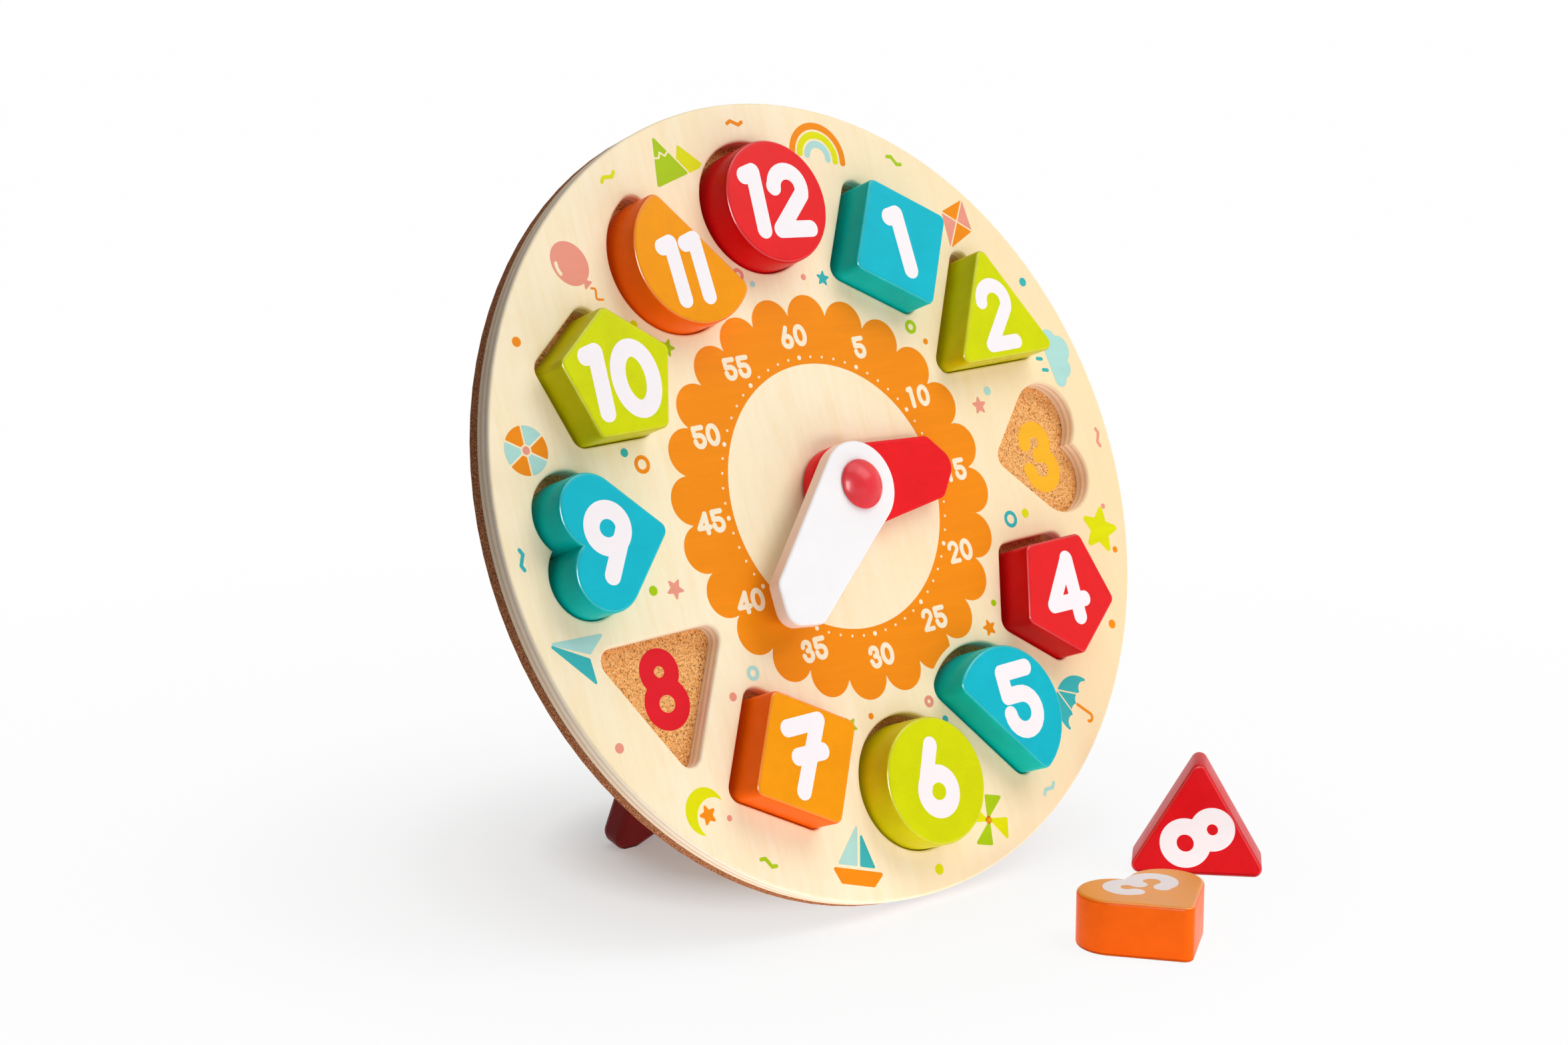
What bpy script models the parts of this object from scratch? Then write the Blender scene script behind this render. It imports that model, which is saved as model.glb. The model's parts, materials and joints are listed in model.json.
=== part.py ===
# Wooden clock puzzle: a leaning round dial with twelve number blocks, two hands and a folding leg.
# Lengths are metres, angles are degrees, +Z is up. The dial faces -Y and leans back on its leg.
import math

import bmesh
import bpy
from mathutils import Matrix, Vector

# Running and seating gaps
TOUCH_GAP = 0.0003
BLOCK_CLEARANCE = 0.0018

# Board
BOARD_RADIUS = 0.150
FACE_PLY = 0.0069
BACK_PLY = 0.0054
RIM_ROUNDING = 0.0010
BOARD_LEAN = 20.9
DIAL_TURN = 2.1
PATTERN_SHIFT_X = -0.0010
PATTERN_SHIFT_Y = 0.0004

# Number blocks: the board left outside them at the rim and between neighbours, and their edges
RIM_LAND = 0.0171
BLOCK_WEB = 0.0099
BLOCK_PROUD = 0.0129
BLOCK_ROUNDING = 0.0014
SQUARE_CORNER = 0.0032
TRIANGLE_CORNER = 0.0031
PENTAGON_CORNER = 0.0032
HEART_TIP_RADIUS = 0.0034
DEE_CORNER = 0.0040

# Outlines of the blocks, as shares of the width that an hour has on the dial
CIRCLE_RADIUS_SHARE = 0.5
SQUARE_SIDE_SHARE = 0.825
TRIANGLE_REACH_SHARE = 0.654
PENTAGON_REACH_SHARE = 0.541
HEART_LOBE_RADIUS_SHARE = 0.2886
HEART_LOBE_SPREAD_SHARE = 0.233
DEE_RADIUS_SHARE = 0.5557
DEE_FLAT_SHARE = 0.1667

# Places of the blocks on the dial: share of the ring of hours, bearing from +X, turn of the shape
CIRCLE_RING_SHARE = 1.0
CIRCLE_BEARING = 90.0
CIRCLE_TURN = 0.0
SQUARE_RING_SHARE = 0.9543
SQUARE_BEARING = 57.7
SQUARE_TURN = -30.0
TRIANGLE_RING_SHARE = 0.9981
TRIANGLE_BEARING = 29.1
TRIANGLE_TURN = 0.0
HEART_RING_SHARE = 1.0785
HEART_BEARING = -0.2
HEART_TURN = -90.0
PENTAGON_RING_SHARE = 0.9735
PENTAGON_BEARING = -31.2
PENTAGON_TURN = 180.0
DEE_RING_SHARE = 0.9552
DEE_BEARING = -64.3
DEE_TURN = -50.5

# The two blocks lying in front of the dial, measured from the rim's line on the floor
LOOSE_HEART_X = 0.0285
LOOSE_HEART_Y = -0.0856
LOOSE_HEART_TURN = -11.3
LOOSE_TRIANGLE_X = 0.0971
LOOSE_TRIANGLE_Y = -0.0527
LOOSE_TRIANGLE_TURN = -49.7

# Hub
HUB_CAP_RADIUS = 0.00925
HUB_CAP_SKIRT = 0.0010
HUB_CAP_DOME = 0.0043
HUB_SHANK_RADIUS = 0.0035
HUB_WASHER_RADIUS = 0.0062
HUB_WASHER_THICKNESS = 0.0003
HUB_NUT_RADIUS = 0.0060
HUB_NUT_THICKNESS = 0.0010
HUB_SHANK_OVERHANG = 0.0010

# Hands
HAND_THICKNESS = 0.0065
HAND_HEAD_RADIUS = 0.0165
HAND_HALF_WIDTH = 0.0120
HAND_CORNER = 0.0040
HAND_POINT_DEPTH = 0.0075
HAND_POINT_CORNER = 0.0070
HAND_ROUNDING = 0.0010
HOUR_LENGTH = 0.0535
HOUR_BEARING = 2.0
MINUTE_LENGTH = 0.0635
MINUTE_BEARING = 221.3

# Folding leg
LEG_THICKNESS = 0.0105
LEG_ROUNDING = 0.0020
LEG_TILT = 15.0
LEG_FOOT_HALF_WIDTH = 0.0490
LEG_TOP_HALF_WIDTH = 0.0150
LEG_TOP_ABOVE_PIN = 0.0140
LEG_FOOT_CORNER = 0.0060
LEG_TOP_CORNER = 0.0030
LEG_FOOT_PAD = 0.0110
LEG_ARCH_RADIUS = 0.0820
LEG_FOOT_FLAT = 0.0040

# Steel hinge between the board and the leg
PIN_RADIUS = 0.0008
PIN_HEAD_RADIUS = 0.0015
PIN_HEAD_LENGTH = 0.0006
HINGE_ABOVE_NUT = 0.00886
KNUCKLE_WALL = 0.0009
KNUCKLE_PROUD = 0.0002
LEAF_THICKNESS = 0.0012
LEAF_WIDTH = 0.0240
LEAF_LENGTH = 0.0160
LEAF_CORNER = 0.0020
SCREW_SPACING = 0.0140
SCREW_DROP = 0.0100
SCREW_SHANK_RADIUS = 0.0009
SCREW_HEAD_RADIUS = 0.0018
SCREW_HEAD_DEPTH = 0.0009
SCREW_LENGTH = 0.0055

# Facets and cuts
CUT_OVERRUN = 0.0100
WELD_DISTANCE = 0.00001
ROUND_STEP = 7.5
CORNER_STEP = 15.0
RIM_STEP = 3.75
CAP_EDGE_ANGLE = 80.0
ROUNDING_SEGMENTS = 2
BORE_SIDES = 24
SMALL_SIDES = 16
TURNED_STEPS = 32

# Derived ring of hours: twelve widths and twelve webs fill it, inside the land at the rim
hour_half = math.sin(math.pi / 12)
hour_ring = (BOARD_RADIUS - RIM_LAND + BLOCK_WEB / 2) / (1 + hour_half)
hour_width = 2 * hour_ring * hour_half - BLOCK_WEB
circle_radius = hour_width * CIRCLE_RADIUS_SHARE
square_side = hour_width * SQUARE_SIDE_SHARE
triangle_reach = hour_width * TRIANGLE_REACH_SHARE
pentagon_reach = hour_width * PENTAGON_REACH_SHARE
heart_lobe_radius = hour_width * HEART_LOBE_RADIUS_SHARE
heart_lobe_spread = hour_width * HEART_LOBE_SPREAD_SHARE
dee_radius = hour_width * DEE_RADIUS_SHARE
dee_flat = hour_width * DEE_FLAT_SHARE

# Derived heights across the board, measured from the dial's face
face_back = -FACE_PLY
floor_of_recess = face_back - TOUCH_GAP
board_back = floor_of_recess - BACK_PLY
board_thickness = -board_back
block_thickness = FACE_PLY + BLOCK_PROUD
block_sag = BLOCK_CLEARANCE - TOUCH_GAP
bore_radius = HUB_SHANK_RADIUS + TOUCH_GAP
hour_bottom = TOUCH_GAP + HUB_WASHER_THICKNESS + TOUCH_GAP
hour_top = hour_bottom + HAND_THICKNESS
minute_bottom = hour_top + TOUCH_GAP + TOUCH_GAP
minute_top = minute_bottom + HAND_THICKNESS
cap_bottom = minute_top + TOUCH_GAP
nut_top = board_back - TOUCH_GAP
nut_bottom = nut_top - HUB_NUT_THICKNESS
knuckle_bore = PIN_RADIUS + TOUCH_GAP
knuckle_radius = knuckle_bore + KNUCKLE_WALL
pin_offset = knuckle_radius + TOUCH_GAP
leg_face_offset = pin_offset

# Derived places of the leaning board and its leg
lean = math.radians(BOARD_LEAN)
tilt = math.radians(LEG_TILT)
lean_sin = math.sin(lean)
lean_cos = math.cos(lean)
tilt_sin = math.sin(tilt)
tilt_cos = math.cos(tilt)
tilt_tan = math.tan(tilt)
uphill = Vector((0, lean_sin, lean_cos))
outward = Vector((0, -lean_cos, lean_sin))
dial_middle = uphill * BOARD_RADIUS + outward * board_thickness
pin_drop = HUB_NUT_RADIUS + HINGE_ABOVE_NUT + LEAF_LENGTH
pin_climb = BOARD_RADIUS + pin_drop
foot_reach = pin_climb * (lean_sin + lean_cos * tilt_tan)
foot_reach += pin_offset * (lean_cos - lean_sin * tilt_tan) + leg_face_offset / tilt_cos
pin_height = pin_climb * lean_cos - pin_offset * lean_sin
leg_length = (pin_height + leg_face_offset * tilt_sin) / tilt_cos + LEG_FOOT_FLAT * tilt_sin

# Colours of the painted and bare surfaces
PLY_CREAM = (0.86, 0.66, 0.42)
PLY_BROWN = (0.36, 0.22, 0.12)
PAINT_RED = (0.72, 0.015, 0.02)
PAINT_TEAL = (0.02, 0.42, 0.47)
PAINT_LIME = (0.47, 0.60, 0.05)
PAINT_ORANGE = (0.90, 0.27, 0.02)
PAINT_WHITE = (0.90, 0.88, 0.86)
PAINT_DARK_RED = (0.20, 0.012, 0.012)
STEEL = (0.60, 0.60, 0.61)
FIBRE = (0.75, 0.72, 0.66)


# Scene and materials
def clear_scene():
    for item in list(bpy.data.objects):
        bpy.data.objects.remove(item, do_unlink=True)


def new_collection(name):
    group = bpy.data.collections.new(name)
    bpy.context.scene.collection.children.link(group)
    return group


def new_material(name, colour, roughness, metallic=0.0):
    material = bpy.data.materials.new(name)
    material.use_nodes = True
    shader = material.node_tree.nodes["Principled BSDF"]
    shader.inputs["Base Color"].default_value = (*colour, 1.0)
    shader.inputs["Roughness"].default_value = roughness
    shader.inputs["Metallic"].default_value = metallic
    material.diffuse_color = (*colour, 1.0)
    return material


# Outlines, each a closed list of points in the plane
def arc(centre, radius, start, end, step):
    count = max(1, math.ceil(abs(end - start) / step))
    points = []
    for index in range(count + 1):
        angle = math.radians(start + (end - start) * index / count)
        points.append((centre[0] + radius * math.cos(angle), centre[1] + radius * math.sin(angle)))
    return points


def full_circle(radius, step):
    return arc((0, 0), radius, 0, 360, step)[:-1]


def circle_outline(grow):
    return full_circle(circle_radius + grow, ROUND_STEP)


def polygon_outline(sides, reach, corner, grow):
    half_turn = 180 / sides
    centre_reach = reach - corner / math.cos(math.radians(half_turn))
    points = []
    for index in range(sides):
        bearing = 90 + 2 * half_turn * index
        angle = math.radians(bearing)
        centre = (centre_reach * math.cos(angle), centre_reach * math.sin(angle))
        points += arc(centre, corner + grow, bearing - half_turn, bearing + half_turn, CORNER_STEP)
    return points


def square_outline(grow):
    reach = square_side / math.sqrt(2)
    turned = polygon_outline(4, reach, SQUARE_CORNER, grow)
    return turn_and_move(turned, 45, (0, 0))


def triangle_outline(grow):
    return polygon_outline(3, triangle_reach, TRIANGLE_CORNER, grow)


def pentagon_outline(grow):
    return polygon_outline(5, pentagon_reach, PENTAGON_CORNER, grow)


def heart_outline(grow):
    lobe = heart_lobe_radius + grow
    tip = HEART_TIP_RADIUS + grow
    side_slope = math.sqrt(2)
    tip_height = side_slope * (HEART_TIP_RADIUS - heart_lobe_radius) - heart_lobe_spread
    notch = math.degrees(math.acos(heart_lobe_spread / lobe))
    right = arc((heart_lobe_spread, 0), lobe, -45, 180 - notch, ROUND_STEP)
    left = arc((-heart_lobe_spread, 0), lobe, notch, 225, ROUND_STEP)
    point = arc((0, tip_height), tip, 225, 315, CORNER_STEP)
    return right + left[1:] + point


def dee_outline(grow):
    corner = DEE_CORNER + grow
    drop = DEE_CORNER - dee_flat
    side = math.sqrt((dee_radius - DEE_CORNER) ** 2 - drop ** 2)
    start = math.degrees(math.atan2(drop, side))
    bow = arc((0, 0), dee_radius + grow, start, 180 - start, ROUND_STEP)
    left = arc((-side, drop), corner, 180 - start, 270, CORNER_STEP)
    right = arc((side, drop), corner, -90, start, CORNER_STEP)
    return bow + left[1:] + right[:-1]


def turn_and_move(points, turn, place):
    angle = math.radians(turn)
    cos_turn = math.cos(angle)
    sin_turn = math.sin(angle)
    moved = []
    for x, y in points:
        moved.append((place[0] + x * cos_turn - y * sin_turn, place[1] + x * sin_turn + y * cos_turn))
    return moved


def fillet(before, corner, after, radius):
    middle = Vector(corner)
    to_before = (Vector(before) - middle).normalized()
    to_after = (Vector(after) - middle).normalized()
    half = to_before.angle(to_after) / 2
    centre = middle + (to_before + to_after).normalized() * (radius / math.sin(half))
    first = middle + to_before * (radius / math.tan(half)) - centre
    last = middle + to_after * (radius / math.tan(half)) - centre
    start = math.degrees(math.atan2(first.y, first.x))
    sweep = math.degrees(math.atan2(last.y, last.x)) - start
    sweep = (sweep + 180) % 360 - 180
    return arc((centre.x, centre.y), radius, start, start + sweep, CORNER_STEP)


def hand_outline(length):
    shoulder = length - HAND_POINT_DEPTH
    upper = (shoulder, HAND_HALF_WIDTH)
    lower = (shoulder, -HAND_HALF_WIDTH)
    point = (length + HAND_POINT_CORNER - HAND_CORNER, 0)
    reach = math.hypot(shoulder, HAND_HALF_WIDTH)
    bearing = math.atan2(HAND_HALF_WIDTH, shoulder) + math.acos(HAND_HEAD_RADIUS / reach)
    start = math.degrees(bearing)
    head = arc((0, 0), HAND_HEAD_RADIUS, start, 360 - start, ROUND_STEP)
    points = list(head)
    points += fillet(head[-1], lower, point, HAND_CORNER)
    points += fillet(lower, point, upper, HAND_POINT_CORNER)
    points += fillet(point, upper, head[0], HAND_CORNER)
    return points


def leg_outline():
    foot_left = (-LEG_FOOT_HALF_WIDTH, -leg_length)
    foot_right = (LEG_FOOT_HALF_WIDTH, -leg_length)
    top_left = (-LEG_TOP_HALF_WIDTH, LEG_TOP_ABOVE_PIN)
    top_right = (LEG_TOP_HALF_WIDTH, LEG_TOP_ABOVE_PIN)
    arch_half = math.degrees(math.asin((LEG_FOOT_HALF_WIDTH - LEG_FOOT_PAD) / LEG_ARCH_RADIUS))
    arch_drop = LEG_ARCH_RADIUS * math.cos(math.radians(arch_half))
    arch_centre = (0, -leg_length - arch_drop)
    points = fillet(top_left, foot_left, foot_right, LEG_FOOT_CORNER)
    points += arc(arch_centre, LEG_ARCH_RADIUS, 90 + arch_half, 90 - arch_half, ROUND_STEP)
    points += fillet(foot_left, foot_right, top_right, LEG_FOOT_CORNER)
    points += fillet(foot_right, top_right, top_left, LEG_TOP_CORNER)
    points += fillet(top_right, top_left, foot_left, LEG_TOP_CORNER)
    return points


def leaf_outline(keep_middle):
    # A leaf hangs below the pin; its tabs reach up to the knuckles it carries.
    half = LEAF_WIDTH / 2
    third = LEAF_WIDTH / 6
    notch = -(knuckle_radius + TOUCH_GAP)
    low_right = (half, -LEAF_LENGTH)
    low_left = (-half, -LEAF_LENGTH)
    points = fillet((-half, 0), low_left, low_right, LEAF_CORNER)
    points += fillet(low_left, low_right, (half, 0), LEAF_CORNER)
    if keep_middle:
        inner = third - TOUCH_GAP - KNUCKLE_PROUD
        points += [(half, notch), (inner, notch), (inner, 0), (-inner, 0), (-inner, notch), (-half, notch)]
    else:
        inner = third + KNUCKLE_PROUD
        points += [(half, 0), (inner, 0), (inner, notch), (-inner, notch), (-inner, 0), (-half, 0)]
    return points


# Objects
def add_object(name, mesh, material, parent, place, group):
    item = bpy.data.objects.new(name, mesh)
    group.objects.link(item)
    item.parent = parent
    item.matrix_local = place
    if material is not None:
        mesh.materials.clear()
        mesh.materials.append(material)
    return item


def smooth_round_faces(mesh):
    mesh.shade_smooth()
    mesh.set_sharp_from_angle(angle=math.radians(35))


def flat_mesh(name, loops, bottom, top):
    # A flat outline with its holes becomes a plate between two heights.
    curve = bpy.data.curves.new(name, "CURVE")
    curve.dimensions = "2D"
    curve.fill_mode = "BOTH"
    curve.extrude = (top - bottom) / 2
    for loop in loops:
        spline = curve.splines.new("POLY")
        spline.points.add(len(loop) - 1)
        for point, (x, y) in zip(spline.points, loop):
            point.co = (x, y, 0, 1)
        spline.use_cyclic_u = True
    guide = bpy.data.objects.new(name, curve)
    bpy.context.scene.collection.objects.link(guide)
    bpy.context.view_layer.update()
    evaluated = guide.evaluated_get(bpy.context.evaluated_depsgraph_get())
    mesh = bpy.data.meshes.new_from_object(evaluated)
    mesh.name = name
    bpy.data.objects.remove(guide, do_unlink=True)
    mesh.transform(Matrix.Translation((0, 0, (top + bottom) / 2)))
    shape = bmesh.new()
    shape.from_mesh(mesh)
    bmesh.ops.remove_doubles(shape, verts=shape.verts, dist=WELD_DISTANCE)
    bmesh.ops.dissolve_limit(shape, angle_limit=math.radians(0.5), verts=shape.verts, edges=shape.edges)
    bmesh.ops.recalc_face_normals(shape, faces=shape.faces)
    shape.to_mesh(mesh)
    shape.free()
    smooth_round_faces(mesh)
    return mesh


def round_edges(item, width):
    modifier = item.modifiers.new("rounded_edges", "BEVEL")
    modifier.limit_method = "ANGLE"
    modifier.angle_limit = math.radians(CAP_EDGE_ANGLE)
    modifier.width = width
    modifier.segments = ROUNDING_SEGMENTS
    return modifier


def round_rim(mesh, height):
    # Only the rim's own edge at one height is rounded.
    shape = bmesh.new()
    shape.from_mesh(mesh)
    rim = []
    for edge in shape.edges:
        on_rim = all(math.hypot(v.co.x, v.co.y) > BOARD_RADIUS - WELD_DISTANCE for v in edge.verts)
        at_height = all(abs(v.co.z - height) < WELD_DISTANCE for v in edge.verts)
        if on_rim and at_height:
            rim.append(edge)
    bmesh.ops.bevel(shape, geom=rim, offset=RIM_ROUNDING, segments=ROUNDING_SEGMENTS,
                    profile=0.5, affect="EDGES")
    shape.to_mesh(mesh)
    shape.free()
    smooth_round_faces(mesh)


def turned_object(name, profile, material, parent, place, group, steps):
    # The profile runs down the outer side, from the top to the bottom.
    mesh = bpy.data.meshes.new(name)
    shape = bmesh.new()
    corners = [shape.verts.new((radius, 0, height)) for radius, height in profile]
    for first, second in zip(corners, corners[1:]):
        shape.edges.new((first, second))
    shape.to_mesh(mesh)
    shape.free()
    item = add_object(name, mesh, material, parent, place, group)
    screw = item.modifiers.new("turned", "SCREW")
    screw.steps = steps
    screw.render_steps = steps
    screw.use_merge_vertices = True
    screw.merge_threshold = WELD_DISTANCE
    screw.use_smooth_shade = True
    return item


def cylinder_mesh(name, radius, bottom, top, sides):
    mesh = bpy.data.meshes.new(name)
    shape = bmesh.new()
    centre = Matrix.Translation((0, 0, (top + bottom) / 2))
    bmesh.ops.create_cone(shape, cap_ends=True, segments=sides, radius1=radius, radius2=radius,
                          depth=top - bottom, matrix=centre)
    shape.to_mesh(mesh)
    shape.free()
    smooth_round_faces(mesh)
    return mesh


def box_mesh(name, size, centre):
    mesh = bpy.data.meshes.new(name)
    shape = bmesh.new()
    placed = Matrix.Translation(centre) @ Matrix.Diagonal((*size, 1))
    bmesh.ops.create_cube(shape, size=1, matrix=placed)
    shape.to_mesh(mesh)
    shape.free()
    return mesh


def add_cutter(name, mesh, parent, place):
    item = add_object(name, mesh, None, parent, place, cutters)
    item.hide_render = True
    item.display_type = "WIRE"
    return item


def boolean(item, other, operation):
    modifier = item.modifiers.new(other.name, "BOOLEAN")
    modifier.operation = operation
    modifier.solver = "EXACT"
    modifier.object = other
    return modifier


def polar(radius, bearing):
    angle = math.radians(bearing)
    return (radius * math.cos(angle), radius * math.sin(angle))


# Frames that carry the pieces
clear_scene()
parts = new_collection("wooden_clock_puzzle")
cutters = new_collection("cutters")


def add_frame(name, parent, place):
    frame = bpy.data.objects.new(name, None)
    frame.empty_display_size = CUT_OVERRUN
    parts.objects.link(frame)
    frame.parent = parent
    frame.matrix_local = place
    return frame


origin = Matrix.Identity(4)
assembly = add_frame("assembly_frame", None, origin)
board_place = Matrix.Translation(dial_middle) @ Matrix.Rotation(math.pi / 2 - lean, 4, "X")
board_frame = add_frame("board_frame", assembly, board_place)
dial_frame = add_frame("dial_frame", board_frame, Matrix.Rotation(math.radians(DIAL_TURN), 4, "Z"))
pin_place = board_place @ Matrix.Translation((0, pin_drop, board_back - pin_offset))
pin_point = pin_place.to_translation()
leg_place = Matrix.Translation(pin_point) @ Matrix.Rotation(math.pi / 2 + tilt, 4, "X")
leg_frame = add_frame("leg_frame", assembly, leg_place)

# Twelve shapes: the number on the near side of the dial, its opposite, and where they sit
SHAPES = [
    ("circle", 12, 6, circle_outline, CIRCLE_RING_SHARE, CIRCLE_BEARING, CIRCLE_TURN),
    ("square", 1, 7, square_outline, SQUARE_RING_SHARE, SQUARE_BEARING, SQUARE_TURN),
    ("triangle", 2, 8, triangle_outline, TRIANGLE_RING_SHARE, TRIANGLE_BEARING, TRIANGLE_TURN),
    ("heart", 3, 9, heart_outline, HEART_RING_SHARE, HEART_BEARING, HEART_TURN),
    ("pentagon", 4, 10, pentagon_outline, PENTAGON_RING_SHARE, PENTAGON_BEARING, PENTAGON_TURN),
    ("dee", 5, 11, dee_outline, DEE_RING_SHARE, DEE_BEARING, DEE_TURN),
]
BLOCK_PAINT = {
    1: PAINT_TEAL, 2: PAINT_LIME, 3: PAINT_ORANGE, 4: PAINT_RED, 5: PAINT_TEAL, 6: PAINT_LIME,
    7: PAINT_ORANGE, 8: PAINT_RED, 9: PAINT_TEAL, 10: PAINT_LIME, 11: PAINT_ORANGE, 12: PAINT_RED,
}
LOOSE_HEART = 3
LOOSE_TRIANGLE = 8

places = {}
for shape_name, near, far, outline, ring_share, bearing, shape_turn in SHAPES:
    for number, half_turn in ((near, 0), (far, 180)):
        x, y = polar(hour_ring * ring_share, bearing + half_turn)
        spot = (x + PATTERN_SHIFT_X, y + PATTERN_SHIFT_Y)
        places[number] = (outline, spot, shape_turn + half_turn)

# Board: a pierced face glued on a plain back
recesses = []
for number in sorted(places):
    outline, spot, shape_turn = places[number]
    cut = turn_and_move(outline(BLOCK_CLEARANCE), shape_turn, spot)
    recesses.append(turn_and_move(cut, DIAL_TURN, (0, 0)))
rim = full_circle(BOARD_RADIUS, RIM_STEP)
hub_bore = full_circle(bore_radius, 360 / BORE_SIDES)

face_mesh = flat_mesh("face_board", [rim, hub_bore] + recesses, face_back, 0)
round_rim(face_mesh, 0)
add_object("face_board", face_mesh, new_material("face_ply", PLY_CREAM, 0.45), board_frame, origin, parts)

back_mesh = flat_mesh("back_board", [rim, hub_bore], board_back, floor_of_recess)
round_rim(back_mesh, board_back)
back_board = add_object("back_board", back_mesh, new_material("back_ply", PLY_BROWN, 0.7),
                        board_frame, origin, parts)

# Number blocks, ten seated and two loose
downhill = Vector((0, -1, 0))
downhill.rotate(Matrix.Rotation(-math.radians(DIAL_TURN), 3, "Z"))
triangle_rise = triangle_reach * math.cos(math.radians(60))
for number in sorted(places):
    outline, spot, shape_turn = places[number]
    name = "block_%02d" % number
    paint = new_material("paint_%02d" % number, BLOCK_PAINT[number], 0.35)
    mesh = flat_mesh(name, [outline(0)], -block_thickness / 2, block_thickness / 2)
    if number == LOOSE_HEART:
        spin = Matrix.Rotation(math.radians(LOOSE_HEART_TURN), 4, "Z")
        place = Matrix.Translation((LOOSE_HEART_X, LOOSE_HEART_Y, block_thickness / 2)) @ spin
        block = add_object(name, mesh, paint, assembly, place, parts)
    elif number == LOOSE_TRIANGLE:
        spin = Matrix.Rotation(math.radians(LOOSE_TRIANGLE_TURN), 4, "Z")
        stand = Matrix.Rotation(math.pi / 2, 4, "X")
        inward = Matrix.Translation((0, 0, -block_thickness / 2))
        foot = Matrix.Translation((LOOSE_TRIANGLE_X, LOOSE_TRIANGLE_Y, triangle_rise))
        block = add_object(name, mesh, paint, assembly, foot @ spin @ stand @ inward, parts)
    else:
        lowered = Vector((*spot, face_back + block_thickness / 2)) + downhill * block_sag
        spin = Matrix.Rotation(math.radians(shape_turn), 4, "Z")
        block = add_object(name, mesh, paint, dial_frame, Matrix.Translation(lowered) @ spin, parts)
    round_edges(block, BLOCK_ROUNDING)

# Hands and hub
for name, length, bearing, bottom, colour in (
    ("hour_hand", HOUR_LENGTH, HOUR_BEARING, hour_bottom, PAINT_RED),
    ("minute_hand", MINUTE_LENGTH, MINUTE_BEARING, minute_bottom, PAINT_WHITE),
):
    mesh = flat_mesh(name, [hand_outline(length), hub_bore], bottom, bottom + HAND_THICKNESS)
    turn = Matrix.Rotation(math.radians(bearing), 4, "Z")
    hand = add_object(name, mesh, new_material(name + "_paint", colour, 0.3), dial_frame, turn, parts)
    round_edges(hand, HAND_ROUNDING)

washer_mesh = flat_mesh("hub_washer", [full_circle(HUB_WASHER_RADIUS, CORNER_STEP), hub_bore],
                        TOUCH_GAP, TOUCH_GAP + HUB_WASHER_THICKNESS)
add_object("hub_washer", washer_mesh, new_material("washer_fibre", FIBRE, 0.6), dial_frame, origin, parts)

cap_shoulder = cap_bottom + HUB_CAP_SKIRT
dome_radius = (HUB_CAP_RADIUS ** 2 + HUB_CAP_DOME ** 2) / (2 * HUB_CAP_DOME)
dome_centre = cap_shoulder + HUB_CAP_DOME - dome_radius
dome_edge = math.degrees(math.atan2(cap_shoulder - dome_centre, HUB_CAP_RADIUS))
shank_end = nut_bottom - HUB_SHANK_OVERHANG
peg_profile = arc((0, dome_centre), dome_radius, 90, dome_edge, ROUND_STEP)
peg_profile += [(HUB_CAP_RADIUS, cap_bottom), (HUB_SHANK_RADIUS, cap_bottom)]
peg_profile += [(HUB_SHANK_RADIUS, shank_end), (0, shank_end)]
peg_profile[0] = (0, dome_centre + dome_radius)
turned_object("hub_peg", peg_profile, new_material("hub_paint", PAINT_RED, 0.15), dial_frame, origin,
              parts, TURNED_STEPS)

nut_mesh = flat_mesh("hub_nut", [full_circle(HUB_NUT_RADIUS, CORNER_STEP), hub_bore], nut_bottom, nut_top)
add_object("hub_nut", nut_mesh, new_material("nut_steel", STEEL, 0.35, 1.0), dial_frame, origin, parts)

# Folding leg, cut off by the floor and by the back of the board
leg_mesh = flat_mesh("stand_leg", [leg_outline()], -leg_face_offset - LEG_THICKNESS, -leg_face_offset)
stand_leg = add_object("stand_leg", leg_mesh, new_material("leg_paint", PAINT_DARK_RED, 0.4),
                       leg_frame, origin, parts)
round_edges(stand_leg, LEG_ROUNDING)
floor_size = (BOARD_RADIUS, BOARD_RADIUS, CUT_OVERRUN)
floor_mesh = box_mesh("floor_cut", floor_size, (0, foot_reach, -CUT_OVERRUN / 2))
boolean(stand_leg, add_cutter("floor_cut", floor_mesh, assembly, origin), "DIFFERENCE")
slab_depth = LEG_THICKNESS + CUT_OVERRUN
slab_middle = board_back - TOUCH_GAP + slab_depth / 2
slab_mesh = box_mesh("board_cut", (BOARD_RADIUS, BOARD_RADIUS, slab_depth), (0, 0, slab_middle))
boolean(stand_leg, add_cutter("board_cut", slab_mesh, board_frame, origin), "DIFFERENCE")

# Hinge: each leaf lies on its own wood, a gap away, and carries its share of the knuckle
across = Matrix.Rotation(math.pi / 2, 4, "Y")
board_leaf_frame = add_frame("board_leaf_frame", board_frame,
                             Matrix.Translation((0, pin_drop, board_back - pin_offset)))
steel = new_material("hinge_steel", STEEL, 0.3, 1.0)
leaf_outer = knuckle_radius - KNUCKLE_PROUD
leaf_inner = leaf_outer - LEAF_THICKNESS
third = LEAF_WIDTH / 6
half_leaf = LEAF_WIDTH / 2 + KNUCKLE_PROUD


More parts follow.
